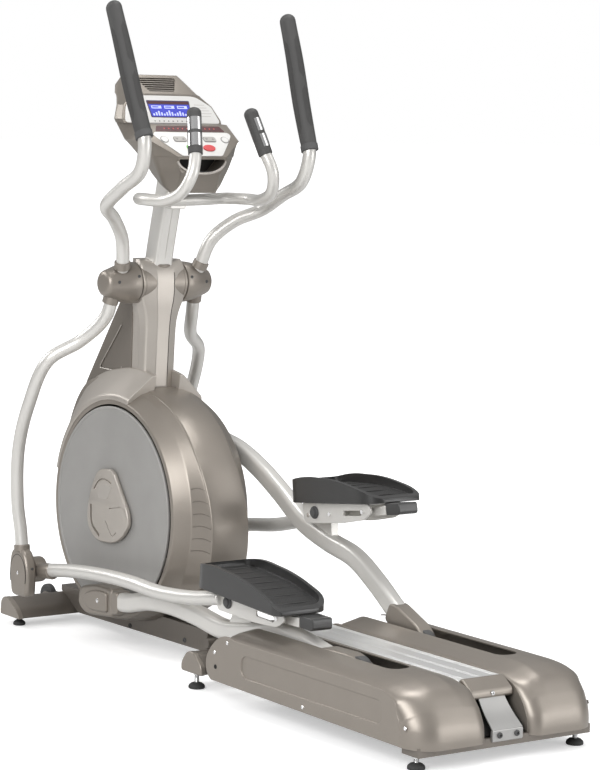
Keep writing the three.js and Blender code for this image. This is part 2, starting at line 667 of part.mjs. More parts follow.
function upperHandle(side, grow = 0) {
  const s = sign[side];
  const top = [HANDLE_TOP.x, HANDLE_TOP.y + 0.4 * grow, HANDLE_TOP.z + grow];
  return cut(swept(placed([...UPPER_LINE, top], s), circle(TUBE + grow), 14), hubWay(s));
}

function lowerArm(side) {
  const s = sign[side];
  return cut(swept(placed(LOWER_LINE, s), circle(TUBE), 15), hubWay(s), jointCasing(side, GAP));
}

function grip(side) {
  return cut(hold(placed(GRIP_LINE, sign[side]), 22, 26, 6), upperHandle(side, GAP));
}

function hubCap(side) {
  const s = sign[side];
  const { radius, half, hubEnd } = BARREL;
  const bore = MAST.shaft + GAP;
  const profile = [
    [0, hubEnd], [36, hubEnd - 1], [48, hubEnd - 8], [radius, hubEnd - 22], [radius, half + GAP],
    [bore, half + GAP],
    [bore, 150 + GAP], [0, 150 + GAP],
  ];
  return turned(profile.map(([r, x]) => [r, s * x]), 24);
}

// Lower joint casing: a round-topped block outboard of the link rod's eye.
function jointCasing(side, grow = 0) {
  const s = sign[side];
  const { y, z } = SWING_JOINT;
  const face = [
    [y - 48, z - 74, 14], [y + 42, z - 74, 14], [y + 54, z + 8, 40], [y + 40, z + 64, 36],
    [y - 40, z + 64, 36],
    [y - 54, z + 8, 40],
  ];
  const inboard = LINK.x + LINK.tube + 1.5;
  return sideways(grownOutline(face, [y, z], grow), s * (inboard - grow), s * (284 + grow), 4);
}

// ---------------------------------------------------------------- link rod and bracket, from the pedal pivot
const LINK_LINE = [
  [0.037, 8], [0.112, 0], [0.193, -6], [0.335, -6], [0.488, 9], [0.65, 15], [0.803, 12], [0.915, 4],
  [0.957, 0],
];

function linkRod(side) {
  const s = sign[side];
  const rod = swept(LINK_LINE.map(([share, z]) => [s * LINK.x, share * LINK.length, z]),
    circle(LINK.tube), 10);
  const plate = outline([
    [52, underPad(52, 1), 6], [52, -24, 10], [-120, -42, 10], [-205, -44, 12], [-238, -24, 12],
    [-222, underPad(-222, 1), 8],
  ]);
  const plateAt = (x) => sideways(plate, s * (x - BRACKET.plate / 2), s * (x + BRACKET.plate / 2));
  const seat = GAP + 0.02;
  const bridge = outline([[50, underPad(50, seat)], [50, underPad(50, 8)], [-200, underPad(-200, 8)],
    [-200, underPad(-200, seat)]]);
  const deck = sideways(bridge, s * BRACKET.inner, s * BRACKET.outer);
  const slot = sideways(outline([[-142, -14, 5], [-142, -24, 5], [-186, -28, 5], [-186, -18, 5]]),
    s * 100, s * 140);
  const knobBar = shaft(6, s * BRACKET.inner, s * BRACKET.outer, 8, -214, -22);
  const knob = sideways(outline([[-204, -9, 6], [-204, -30, 8], [-262, -34, 8], [-262, -13, 6]]),
    s * 146, s * 200, 3, 2);
  const bolt = shaft(8, s * (BRACKET.inner - 8), s * (BRACKET.outer + 8), 12);
  const heads = [shaft(13, s * 112, s * 119, 12), shaft(13, s * 227, s * 234, 12)];
  const eye = shaft(34, s * (LINK.x - LINK.tube), s * (LINK.x + LINK.tube), 16, LINK.length, 0);
  const inboard = cut(plateAt(BRACKET.inner), slot);
  const arch = hoodArch(s);
  return union(rod, plateAt(BRACKET.outer), inboard, deck, knobBar, knob, bolt, ...heads, eye, arch);
}

// Height of the footpad's underside at a place along the link, less a drop.
function underPad(along, drop) {
  return PAD.z + (along - PAD.y) * Math.tan(PAD.tilt) - drop;
}

// The eye's rounded top guard.
function hoodArch(s) {
  const { length } = LINK;
  const guard = outline([
    [length - 50, 16, 6], [length - 44, 50, 22], [length, 68, 30], [length + 46, 50, 24],
    [length + 50, 0], [length, 0],
  ]);
  return sideways(guard, s * (LINK.x - LINK.tube - 4), s * (LINK.x + LINK.tube), 3);
}

// Footpad, from its front hinge: a long tray with raised front and side lips.
const PAD = { y: 60, z: 34, tilt: THREE.MathUtils.degToRad(7.1),
  inner: 98, outer: 252, ahead: 28, behind: 342 };

function footpad(side) {
  const s = sign[side];
  const { inner, outer, ahead, behind } = PAD;
  const profile = outline([
    [ahead, 0, 8], [ahead + 4, 44, 14], [-40, 56, 30], [-170, 54, 60], [-270, 42, 40], [-behind + 10, 24, 12],
    [-behind, 0, 4],
  ]);
  const plan = outline([
    [s * inner, ahead + 8, 46], [s * outer, ahead + 8, 40], [s * outer, -behind, 26],
    [s * inner, -behind, 62],
  ]);
  const well = outline([
    [ahead - 12, 64], [ahead - 12, 34, 12], [-60, 40, 30], [-200, 36, 40], [-behind - 10, 16],
    [-behind - 10, 64],
  ]);
  const pocket = sideways(well, s * (inner + 10), s * (outer - 10), 0, 3);
  const shell = sideways(profile, s * inner, s * outer, 0, 3).intersect(upright(plan, -5, 80, 0, 4));
  return cut(shell, pocket);
}

// ---------------------------------------------------------------- pedal arm, from the roller axle
const BOOT = { behind: 79 }; // how far the crank boot runs back from the pin
const ARM_LINE = [
  [0.05, 4], [0.109, 6], [0.202, 28], [0.294, 33], [0.395, 24], [0.504, 7], [0.605, 19], [0.706, 41],
  [0.798, 31],
  [0.891, 10], [0.956, 2],
];

function armSection() {
  const { width, half } = ARM;
  return outline([
    [-width / 2, -half, 15], [width / 2, -half, 15], [width / 2, half, 15], [-width / 2, half, 15],
  ]);
}

function pedalArm(side) {
  const s = sign[side];
  const { x, width, length } = ARM;
  const tube = swept(ARM_LINE.map(([share, up]) => [s * x, (1 - share) * length, up]), armSection(), 12, 2);
  const reach = length - PEDAL_PIVOT.along;
  const { up } = PEDAL_PIVOT;
  const web = outline([[reach - 66, 12], [reach + 70, 12], [reach + 16, up - 4, 10],
    [reach - 16, up - 4, 10]]);
  const post = sideways(web, s * (x - 12), s * (x + 12));
  const boss = shaft(17, s * (BRACKET.inner + 3 + GAP), s * (BRACKET.outer - 3 - GAP), 16, reach, up);
  const cheek = outline([[-18, -16, 14], [60, -22, 8], [116, -22, 4], [116, 32, 4], [60, 26, 8],
    [-18, 18, 14]]);
  const out = width / 2 + 1;
  const cheeks = [sideways(cheek, s * (x - out), s * (x - out + 6)), sideways(cheek, s * (x + out - 6),
    s * (x + out))];
  const collar = sideways(outline([[62, -24, 8], [128, -26, 8], [128, 34, 8], [62, 28, 8]]),
    s * (x - out), s * (x + out));
  const room = shaft(ROLLER.radius + 3, s * (x - 16), s * (x + 16), 24);
  const bootWay = block(s * 140, s * 210, length - BOOT.behind - GAP, length, -80, 80);
  const whole = union(cut(union(tube, collar), room, bootWay), post, boss, ...cheeks);
  const boltWay = shaft(8 + GAP, s * 100, s * 240, 12, reach, up);
  return cut(whole, boltWay, shaft(ROLLER.axle + GAP, s * 140, s * 210, 16));
}

function crankBoot(side) {
  const s = sign[side];
  const { x, width, length } = ARM;
  const face = outline([
    [length - BOOT.behind, -42, 12], [length + 60, -52, 26], [length + 106, -30, 34],
    [length + 96, 24, 40], [length, 44, 40],
    [length - BOOT.behind, 38, 14],
  ]);
  return sideways(face, s * (x - width / 2), s * (x + width / 2 + 3), 6);
}

function roller(side) {
  const s = sign[side];
  const { radius, width, axle } = ROLLER;
  const [a, b] = [ARM.x - width / 2, ARM.x + width / 2];
  const profile = [
    [axle + GAP, a], [26, a], [28, a + 4], [radius - 3, a + 4], [radius, a + 8], [radius, b - 8],
    [radius - 3, b - 4],
    [28, b - 4], [26, b], [axle + GAP, b],
  ];
  return turned(profile.map(([r, x]) => [r, s * x]), 20);
}

function rollerAxle(side) {
  const s = sign[side];
  const out = ARM.width / 2 + 1;
  const profile = [
    [0, ARM.x - out - 3], [ROLLER.axle, ARM.x - out - 3], [ROLLER.axle, ARM.x + out + GAP],
    [14, ARM.x + out + GAP],
    [14, ARM.x + out + 4], [0, ARM.x + out + 4],
  ];
  return turned(profile.map(([r, x]) => [r, s * x]), 16);
}

// ---------------------------------------------------------------- assembly
function groupAt({ y, z }, turn, ...children) {
  const group = new THREE.Group();
  group.position.set(0, y, z);
  group.rotation.x = turn;
  children.forEach((child) => group.add(child));
  return group;
}

function standGroup() {
  const group = new THREE.Group();
  group.add(
    meshOf("main_frame", mainFrame(), "taupe"),
    meshOf("front_stabiliser", frontStabiliser(), "taupe"),
    meshOf("mid_stabiliser", sideways(midSection(0), -STAB.halfMid, STAB.halfMid, 3), "taupe"),
    meshOf("rear_frame", rearFrame(), "steel"),
    meshOf("centre_track", centreTrack(), "silver"),
    meshOf("rear_end_cap", rearEndCap(), "taupe"),
  );
  for (const side of SIDES) {
    group.add(meshOf(`${side}_rail_cover`, railCover(side), "taupe"));
    for (const [place, spot] of Object.entries(FEET)) {
      const mesh = meshOf(`${side}_${place}_foot`, foot(STAB[place]), "black");
      mesh.position.set(sign[side] * spot.x, spot.y, 0);
      group.add(mesh);
    }
    const tyre = [[WHEEL.pin + GAP, -12], [20, -12], [24, -9], [30, -9], [34, -5], [34, 5], [30, 9],
      [24, 9], [20, 12]];
    const wheel = meshOf(`${side}_transport_wheel`, turned([...tyre, [WHEEL.pin + GAP, 12]], 16), "black");
    wheel.position.set(sign[side] * WHEEL.x, WHEEL.y, WHEEL.z);
    group.add(wheel);
  }
  return group;
}

function shroudGroup() {
  const group = new THREE.Group();
  group.add(
    meshOf("left_side_case", sideCase("left"), "taupe"),
    meshOf("right_side_case", sideCase("right"), "taupe"),
    meshOf("spine_cover", spineCover(), "taupe"),
  );
  return group;
}

function driveGroup() {
  const fly = groupAt(FLY, 0, meshOf("flywheel", flywheel(), "steel"));
  const still = groupAt(CRANK, 0, meshOf("drive_belt", driveBelt(), "black"));
  const hub = groupAt(CRANK, 0, meshOf("crank_axle", crankAxle(), "steel"),
    meshOf("drive_pulley", drivePulley(), "black"));
  for (const side of SIDES) {
    const throwing = groupAt({ y: 0, z: 0 }, side === "right" ? -CRANK.tilt : Math.PI - CRANK.tilt);
    throwing.add(meshOf(`${side}_crank_arm`, crankArm(side), "steel"), meshOf(`${side}_disc`, disc(side),
      "disc"));
    hub.add(throwing, meshOf(`${side}_hub_cover`, hubCover(side), "taupe"));
  }
  const group = new THREE.Group();
  group.add(fly, still, hub);
  return group;
}

function mastGroup() {
  const group = new THREE.Group();
  group.add(
    meshOf("mast", mast(), "silver"),
    meshOf("pivot_barrel", barrel(), "taupe"),
    meshOf("rear_mast_cover", rearMastCover(), "taupe"),
    meshOf("front_mast_cover", frontMastCover(), "taupe"),
    meshOf("handrail", handrail(), "silver"),
    meshOf("left_pulse_grip", pulseGrip("left"), "black"),
    meshOf("right_pulse_grip", pulseGrip("right"), "black"),
    meshOf("console_housing", consoleHousing(), "taupe"),
    meshOf("console_face", consoleFace(), "face"),
  );
  return group;
}

function sideGroup(side) {
  const pose = linkagePose(side);
  const swing = groupAt(
    PIVOT,
    pose.swing,
    meshOf(`${side}_upper_handle`, upperHandle(side), "silver"),
    meshOf(`${side}_grip`, grip(side), "black"),
    meshOf(`${side}_pivot_hub`, hubCap(side), "taupe"),
    meshOf(`${side}_lower_arm`, lowerArm(side), "silver"),
    meshOf(`${side}_joint_casing`, jointCasing(side), "taupe"),
  );
  const arm = groupAt(
    pose.roller,
    pose.lift,
    meshOf(`${side}_pedal_arm`, pedalArm(side), "silver"),
    meshOf(`${side}_crank_boot`, crankBoot(side), "taupe"),
    meshOf(`${side}_roller`, roller(side), "black"),
    meshOf(`${side}_roller_axle`, rollerAxle(side), "steel"),
  );
  const pad = groupAt(PAD, PAD.tilt, meshOf(`${side}_pedal`, footpad(side), "black"));
  const link = groupAt(pose.pedal, pose.link, meshOf(`${side}_link_rod`, linkRod(side), "silver"), pad);
  const group = new THREE.Group();
  group.add(swing, arm, link);
  return group;
}

const machine = new THREE.Group();
machine.name = "elliptical_trainer";
machine.add(standGroup(), shroudGroup(), driveGroup(), mastGroup(), sideGroup("left"), sideGroup("right"));
machine.position.y = -MIDDLE;

export default machine;
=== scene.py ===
"""Looks of a front-drive elliptical trainer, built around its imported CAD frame.

Sizes in the classes are millimetres in the machine's own frame: x to the user's right, y forward from the
rear levelling feet, z up. Each mesh is turned to metres in the row frame as it is made.
"""

import json
import logging
import math
from dataclasses import dataclass
from enum import Enum
from typing import Callable, Sequence

import bmesh
import bpy
import numpy as np
from mathutils import Matrix, Vector
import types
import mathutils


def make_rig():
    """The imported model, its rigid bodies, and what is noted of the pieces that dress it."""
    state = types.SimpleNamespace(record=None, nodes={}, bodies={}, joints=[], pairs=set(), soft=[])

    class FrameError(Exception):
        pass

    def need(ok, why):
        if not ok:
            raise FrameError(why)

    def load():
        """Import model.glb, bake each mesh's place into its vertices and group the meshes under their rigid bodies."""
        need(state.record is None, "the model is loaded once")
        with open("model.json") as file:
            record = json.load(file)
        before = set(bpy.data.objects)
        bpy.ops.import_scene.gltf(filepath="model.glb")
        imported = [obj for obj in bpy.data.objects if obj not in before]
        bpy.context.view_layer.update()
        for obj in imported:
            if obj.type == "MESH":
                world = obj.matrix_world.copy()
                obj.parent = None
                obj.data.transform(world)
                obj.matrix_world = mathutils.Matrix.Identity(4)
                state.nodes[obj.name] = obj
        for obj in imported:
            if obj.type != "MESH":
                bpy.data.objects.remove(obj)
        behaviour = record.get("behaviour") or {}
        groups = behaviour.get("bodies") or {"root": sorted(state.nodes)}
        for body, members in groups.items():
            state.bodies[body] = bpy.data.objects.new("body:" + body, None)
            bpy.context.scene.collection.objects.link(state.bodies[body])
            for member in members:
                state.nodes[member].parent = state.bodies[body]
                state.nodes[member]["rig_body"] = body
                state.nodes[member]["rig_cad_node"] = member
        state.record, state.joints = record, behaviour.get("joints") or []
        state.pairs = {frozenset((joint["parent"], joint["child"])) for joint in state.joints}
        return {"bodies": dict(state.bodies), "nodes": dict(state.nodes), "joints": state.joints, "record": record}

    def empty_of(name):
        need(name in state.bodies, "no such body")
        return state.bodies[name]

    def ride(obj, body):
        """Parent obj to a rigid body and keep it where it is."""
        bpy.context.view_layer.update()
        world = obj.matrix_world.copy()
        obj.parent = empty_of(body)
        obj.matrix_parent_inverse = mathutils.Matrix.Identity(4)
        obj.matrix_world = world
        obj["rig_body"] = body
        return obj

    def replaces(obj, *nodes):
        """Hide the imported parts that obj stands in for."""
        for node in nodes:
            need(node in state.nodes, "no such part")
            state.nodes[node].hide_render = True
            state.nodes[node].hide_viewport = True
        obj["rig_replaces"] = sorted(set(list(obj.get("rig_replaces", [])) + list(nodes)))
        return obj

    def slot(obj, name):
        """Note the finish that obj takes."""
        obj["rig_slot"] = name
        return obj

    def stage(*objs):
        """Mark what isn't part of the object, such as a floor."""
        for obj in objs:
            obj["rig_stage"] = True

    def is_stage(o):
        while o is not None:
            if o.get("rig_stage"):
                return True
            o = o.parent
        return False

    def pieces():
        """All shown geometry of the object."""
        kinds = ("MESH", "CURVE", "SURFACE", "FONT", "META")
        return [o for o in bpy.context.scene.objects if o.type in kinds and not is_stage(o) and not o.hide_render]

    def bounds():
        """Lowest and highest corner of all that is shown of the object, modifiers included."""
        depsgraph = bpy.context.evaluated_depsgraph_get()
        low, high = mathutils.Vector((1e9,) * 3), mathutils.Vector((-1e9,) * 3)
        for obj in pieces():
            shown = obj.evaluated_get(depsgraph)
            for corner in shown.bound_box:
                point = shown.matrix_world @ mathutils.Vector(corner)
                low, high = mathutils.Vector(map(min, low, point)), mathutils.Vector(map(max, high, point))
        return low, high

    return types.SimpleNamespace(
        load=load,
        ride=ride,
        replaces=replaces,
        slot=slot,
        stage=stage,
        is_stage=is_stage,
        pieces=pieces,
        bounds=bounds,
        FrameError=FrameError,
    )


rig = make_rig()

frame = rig.load()

LOG = logging.getLogger("trainer")
MM = 0.001
MIDDLE = 988.5
SIZE_FILE = "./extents.json"
CORNER_SHARE = 0.48
LEAST_RADIUS = 1e-6
WELD_DISTANCE = 1e-7
SIDEWAYS = 0.97
DOME_TURNS = (18, 36, 54, 68, 80, 87)
ALONG_X = np.array([1.0, 0.0, 0.0])
ARM_X = 173.0
PAD_AHEAD, PAD_UP, PAD_TILT = 60.0, 34.0, math.radians(7.1)
Object = bpy.types.Object
Tree = bpy.types.NodeTree
Point = Sequence[float]
Flat = list[tuple[float, float]]
Spot = tuple[float, float, float]


class Side(Enum):
    """One side of the machine, with its direction along x."""

    LEFT = -1
    RIGHT = 1

    @property
    def word(self) -> str:
        """The side's name as the CAD nodes spell it."""
        return self.name.lower()


# ------------------------------------------------------------------------------------------- places
@dataclass(frozen=True)
class Place:
    """Where a group of pieces stands: an origin in the machine's frame and a turn about x."""

    y: float = 0.0
    z: float = 0.0
    turn: float = 0.0

    def matrix(self) -> Matrix:
        """The change from the group's millimetres to the row frame's metres."""
        move = Matrix.Translation((0, (self.y - MIDDLE) * MM, self.z * MM))
        return move @ Matrix.Rotation(self.turn, 4, "X") @ Matrix.Scale(MM, 4)

    def beside(self, y: float, z: float, turn: float) -> "Place":
        """A place set off from this one, measured in this one's turned frame."""
        c, s = math.cos(self.turn), math.sin(self.turn)
        return Place(self.y + y * c - z * s, self.z + y * s + z * c, self.turn + turn)


MACHINE = Place()
CRANK = Place(1558.5, 385.0)
PIVOT = Place(1558.5, 1026.0)


@dataclass(frozen=True)
class Linkage:
    """The bar sizes of one side's linkage, and its closed pose at rest."""

    radius: float = 248.0
    tilt: float = math.radians(10)
    arm: float = 1190.0
    roller_z: float = 168.0
    pedal_along: float = 691.0
    pedal_up: float = 98.0
    link: float = 984.0
    eye_y: float = 281.5
    eye_z: float = -836.0

    def places(self, side: Side) -> dict[str, Place]:
        """Where each moving group stands at rest.

        Args:
            side: The side of the machine.

        Returns:
            The places of the pedal arm, the link rod and the swing arm.
        """
        up = side.value
        pin_y = CRANK.y + up * self.radius * math.sin(self.tilt)
        pin_z = CRANK.z + up * self.radius * math.cos(self.tilt)
        lift = math.asin((pin_z - self.roller_z) / self.arm)
        back = pin_y - self.arm * math.cos(lift)
        reach = self.arm - self.pedal_along
        pedal_y = back + reach * math.cos(lift) - self.pedal_up * math.sin(lift)
        pedal_z = self.roller_z + reach * math.sin(lift) + self.pedal_up * math.cos(lift)
        span_y, span_z = PIVOT.y - pedal_y, PIVOT.z - pedal_z
        span, swing = math.hypot(span_y, span_z), math.hypot(self.eye_y, self.eye_z)
        along = (self.link**2 - swing**2 + span**2) / (2 * span)
        off = math.sqrt(self.link**2 - along**2)
        eye_y = pedal_y + (span_y * along + span_z * off) / span
        eye_z = pedal_z + (span_z * along - span_y * off) / span
        turn = math.atan2(eye_z - PIVOT.z, eye_y - PIVOT.y) - math.atan2(self.eye_z, self.eye_y)
        return {
            "arm": Place(back, self.roller_z, lift),
            "link": Place(pedal_y, pedal_z, math.atan2(eye_z - pedal_z, eye_y - pedal_y)),
            "swing": Place(PIVOT.y, PIVOT.z, turn),
        }


BARS = Linkage()


# --------------------------------------------------------------------------------- curves and outlines
def headings(line: np.ndarray) -> np.ndarray:
    """The unit direction of a sampled curve at each of its points."""
    way = np.gradient(line, axis=0)
    return way / np.linalg.norm(way, axis=1)[:, None]


def leftward(line: np.ndarray) -> np.ndarray:
    """The unit direction to the left of a sampled flat curve at each of its points."""
    way = headings(line)
    return np.stack([-way[:, 1], way[:, 0]], 1)


def centripetal(points: Sequence[Point], count: int, closed: bool = False) -> np.ndarray:
    """A smooth curve through the points, sampled evenly by length.

    Args:
        points: The points that the curve passes.
        count: How many samples to return.
        closed: Whether the curve returns to its start.

    Returns:
        The samples, one row each.
    """
    p = np.asarray(points, float)
    if closed:
        p = np.vstack([p[-1:], p, p[:2]])
    else:
        p = np.vstack([2 * p[0] - p[1], p, 2 * p[-1] - p[-2]])
    fine = []
    t = np.linspace(0, 1, 40, endpoint=False)[:, None]
    for a, b, c, d in zip(p[:-3], p[1:-2], p[2:-1], p[3:]):
        d0, d1, d2 = (math.sqrt(max(np.linalg.norm(v), 1e-9)) for v in (b - a, c - b, d - c))
        m1 = ((b - a) / d0 - (c - a) / (d0 + d1) + (c - b) / d1) * d1
        m2 = ((c - b) / d1 - (d - b) / (d1 + d2) + (d - c) / d2) * d1
        fine.append(b + m1 * t + (3 * (c - b) - 2 * m1 - m2) * t**2 + (2 * (b - c) + m1 + m2) * t**3)
    line = np.vstack([*fine, p[-2:-1]])
    length = np.concatenate([[0], np.cumsum(np.linalg.norm(np.diff(line, axis=0), axis=1))])
    at = np.linspace(0, length[-1], count)
    return np.stack([np.interp(at, length, line[:, k]) for k in range(line.shape[1])], 1)


def rounded(points: Sequence[Point], arc: int = 7, closed: bool = True) -> Flat:
    """An outline whose corners are rounded by each point's third value.

    Args:
        points: Corners as (a, b) or (a, b, radius).
        arc: Segments in each rounded corner.
        closed: Whether the outline returns to its start.

    Returns:
        The outline's points in order.
    """
    out = []
    for i, corner in enumerate(points):
        here = Vector(corner[:2])
        before, after = Vector(points[i - 1][:2]), Vector(points[(i + 1) % len(points)][:2])
        room = CORNER_SHARE * min((before - here).length, (after - here).length)
        radius = min(corner[2] if len(corner) > 2 else 0.0, room)
        if radius <= 0 or (not closed and i in (0, len(points) - 1)):
            out.append(tuple(here))
            continue
        start = here + (before - here).normalized() * radius
        end = here + (after - here).normalized() * radius
        for k in range(arc + 1):
            t = k / arc
            out.append(tuple(start * (1 - t) ** 2 + here * 2 * t * (1 - t) + end * t**2))
    return out


def both(half: Sequence[Point], arc: int = 7) -> Flat:
    """A rounded outline that is the same on both sides.

    Args:
        half: Its right half, as corners of (x, b, radius) between the two ends of the middle line.
        arc: Segments in each rounded corner.

    Returns:
        The outline's points in order.
    """
    return rounded([*half, *[(-x, b, radius) for x, b, radius in reversed(half)]], arc)


def mirrored(half: Sequence[Point]) -> Flat:
    """A lathe profile of (radius, height) points, followed by its image at the other end."""
    return [*half, *[(radius, -height) for radius, height in reversed(half)]]


def moved(outline: Sequence[Point], a: float, b: float) -> Flat:
    """An outline, moved by (a, b)."""
    return [(a + p, b + q) for p, q in outline]


def on_side(profile: Sequence[Point], s: int) -> Flat:
    """A lathe profile drawn for the right side, on the side that s gives."""
    return [(radius, s * x) for radius, x in profile]


def ring(half_a: float, half_b: float, count: int = 28) -> Flat:
    """An ellipse as a closed outline."""
    turn = 2 * math.pi / count
    return [(half_a * math.cos(turn * k), half_b * math.sin(turn * k)) for k in range(count)]


def rectangle(half_a: float, half_b: float, radius: float, arc: int = 5) -> Flat:
    """A rounded rectangle as a closed outline."""
    corners = [(half_a, -half_b), (half_a, half_b), (-half_a, half_b), (-half_a, -half_b)]
    return rounded([(a, b, radius) for a, b in corners], arc)


def ribbon(points: Sequence[Point], half: float, count: int = 18) -> Flat:
    """The closed outline of a curved stripe.

    Args:
        points: Points along its middle.
        half: Half its width.
        count: Samples along it.

    Returns:
        The outline's points in order.
    """
    line = centripetal(points, count)
    out = leftward(line) * half
    return [tuple(p) for p in [*(line + out), *(line - out)[::-1]]]


# ---------------------------------------------------------------------------------------------- meshes
class Piece:
    """A mesh on its way to becoming a piece of the object."""

    def __init__(self, name: str, verts: Sequence[Point], faces: Sequence[Sequence[int]],
                 place: Place = MACHINE):
        """Makes the mesh in the row frame.

        Args:
            name: The object's name.
            verts: Points in the place's millimetres.
            faces: Vertex numbers of each face.
            place: Where the group stands.
        """
        mesh = bpy.data.meshes.new(name)
        mesh.from_pydata([tuple(v) for v in verts], [], [tuple(f) for f in faces])
        mesh.transform(place.matrix())
        mesh.validate()
        self.obj: Object = bpy.data.objects.new(name, mesh)
        bpy.context.scene.collection.objects.link(self.obj)
        self.outward()

    def outward(self) -> None:
        """Turns every face outwards."""
        mesh = bmesh.new()
        mesh.from_mesh(self.obj.data)
        bmesh.ops.remove_doubles(mesh, verts=mesh.verts, dist=WELD_DISTANCE)
        bmesh.ops.recalc_face_normals(mesh, faces=mesh.faces)
        middle = sum((v.co for v in mesh.verts), Vector()) / max(1, len(mesh.verts))
        if sum(f.normal.dot(f.calc_center_median() - middle) * f.calc_area() for f in mesh.faces) < 0:
            bmesh.ops.reverse_faces(mesh, faces=mesh.faces)
        mesh.to_mesh(self.obj.data)
        mesh.free()

    @classmethod
    def prism(cls, name: str, outline: Sequence[Point], low: float, high: float, axis: str = "x",
              place: Place = MACHINE) -> "Piece":
        """An outline drawn in the two other axes and carried along one axis.

        Args:
            name: The object's name.
            outline: Closed outline, in (y, z), (x, z) or (x, y).
            low: One end along the axis.
            high: The other end.
            axis: The axis to carry it along.
            place: Where the group stands.

        Returns:
            The new piece.
        """
        spread = {
            "x": lambda a, b, c: (c, a, b),
            "y": lambda a, b, c: (a, c, b),
            "z": lambda a, b, c: (a, b, c),
        }[axis]
        return cls.loft(name, [[spread(a, b, c) for a, b in outline] for c in (low, high)], place)

    @classmethod
    def lathe(cls, name: str, profile: Sequence[Point], segments: int = 64, y: float = 0.0, z: float = 0.0,
              place: Place = MACHINE, axis: str = "x", x: float = 0.0) -> "Piece":
        """A closed profile of (radius, height) turned about a line along an axis.

        Args:
            name: The object's name.
            profile: Points from one end to the other; it closes on itself where it leaves the line.
            segments: Steps in the turn.
            y: The origin's y.
            z: The origin's z.
            place: Where the group stands.
            axis: The line's axis.
            x: The origin's x.

        Returns:
            The new piece.
        """
        spread = {
            "x": lambda p, q, h: (x + h, y + p, z + q),
            "y": lambda p, q, h: (x + p, y + h, z + q),
            "z": lambda p, q, h: (x + p, y + q, z + h),
        }[axis]
        verts, rows = [], []
        for radius, height in profile:
            row = []
            for k in range(segments if radius > LEAST_RADIUS else 1):
                a = 2 * math.pi * k / segments
                row.append(len(verts))
                verts.append(spread(radius * math.cos(a), radius * math.sin(a), height))
            rows.append(row * segments if len(row) == 1 else row)
        faces = []
        for i in range(len(rows) - (0 if profile[0][0] > LEAST_RADIUS else 1)):
            a, b = rows[i], rows[(i + 1) % len(rows)]
            for k in range(segments):
                m = (k + 1) % segments
                face = list(dict.fromkeys([a[k], a[m], b[m], b[k]]))
                if len(face) > 2:
                    faces.append(face)
        return cls(name, verts, faces, place)

    @classmethod
    def sweep(cls, name: str, points: Sequence[Point], section: Callable[[float], Flat] | Sequence[Point],
              steps: int = 60, place: Place = MACHINE, domes: tuple[float, float] = (0, 0)) -> "Piece":
        """A section carried along a smooth curve.

        The section's side stays along x. Where the curve itself runs along x, the section turns with it.

        Args:
            name: The object's name.
            points: Points that the curve passes, as (x, y, z).
            section: A closed outline in (side, up), or a function of the share along the curve giving one.
            steps: Rings along the curve.
            place: Where the group stands.
            domes: Length of the round end at the start and at the end.

        Returns:
            The new piece.
        """
        centre = centripetal(points, steps + 1)
        tangent = headings(centre)
        level = float(np.abs(tangent[:, 0]).max()) < SIDEWAYS
        across = ALONG_X if level else np.cross(tangent[0], [0.3, 0.2, 1.0])
        sides, shares = [], np.linspace(0, 1, steps + 1)
        for t in tangent:
            base = ALONG_X if level else across
            across = base - t * (base @ t)
            across /= np.linalg.norm(across)
            sides.append(across)
        places = [(c, t, s, u, 1.0) for c, t, s, u in zip(centre, tangent, sides, shares)]
        bends = [math.radians(a) for a in DOME_TURNS]
        for end, reach in ((0, domes[0]), (-1, domes[1])):
            if reach <= 0:
                continue
            c, t, s, u, _ = places[end]
            way = -1 if end == 0 else 1
            extra = [(c + t * way * reach * math.sin(a), t, s, u, math.cos(a)) for a in bends]
            places = extra[::-1] + places if end == 0 else places + extra
        rings = []
        for c, t, s, u, scale in places:
            outline = section(u) if callable(section) else section
            up = np.cross(s, t) * -1
            rings.append([tuple(c + s * a * scale + up * b * scale) for a, b in outline])
        return cls.loft(name, rings, place)

    @classmethod
    def grid(cls, name: str, rows: Sequence[Sequence[Point]], closed: bool = False,
             place: Place = MACHINE) -> "Piece":
        """A sheet through rows of points.

        Args:
            name: The object's name.
            rows: Rows of (x, y, z) points, each as long as the others.
            closed: Whether the last row joins the first.
            place: Where the group stands.

        Returns:
            The new piece.
        """
        width = len(rows[0])
        verts = [p for row in rows for p in row]
        faces = []
        for i in range(len(rows) - (0 if closed else 1)):
            j = (i + 1) % len(rows)
            faces += [[i * width + k, i * width + k + 1, j * width + k + 1, j * width + k]
                      for k in range(width - 1)]
        return cls(name, verts, faces, place)

    @classmethod
    def loft(cls, name: str, rings: Sequence[Sequence[Point]], place: Place = MACHINE) -> "Piece":
        """A closed skin through rings of equal length, with flat ends.

        Args:
            name: The object's name.
            rings: Closed rings of (x, y, z) points, in order.
            place: Where the group stands.

        Returns:
            The new piece.
        """
        count, verts = len(rings[0]), [p for row in rings for p in row]
        faces = [list(range(count)), list(range(len(verts) - 1, len(verts) - count - 1, -1))]
        for i in range(len(rings) - 1):
            for k in range(count):
                m = (k + 1) % count
                faces.append([i * count + k, i * count + m, (i + 1) * count + m, (i + 1) * count + k])
        return cls(name, verts, faces, place)

    def _bake(self) -> None:
        """Turns the modifiers into plain mesh."""
        graph = bpy.context.evaluated_depsgraph_get()
        graph.update()
        mesh = bpy.data.meshes.new_from_object(self.obj.evaluated_get(graph))
        self.obj.modifiers.clear()
        old, self.obj.data = self.obj.data, mesh
        bpy.data.meshes.remove(old)

    def _boolean(self, kind: str, tools: Sequence["Piece"]) -> "Piece":
        """Applies each tool's shape to the piece, and drops the tool."""
        for tool in tools:
            step = self.obj.modifiers.new("boolean", "BOOLEAN")
            step.operation, step.solver, step.object = kind, "EXACT", tool.obj
            self._bake()
            bpy.data.objects.remove(tool.obj)
        return self

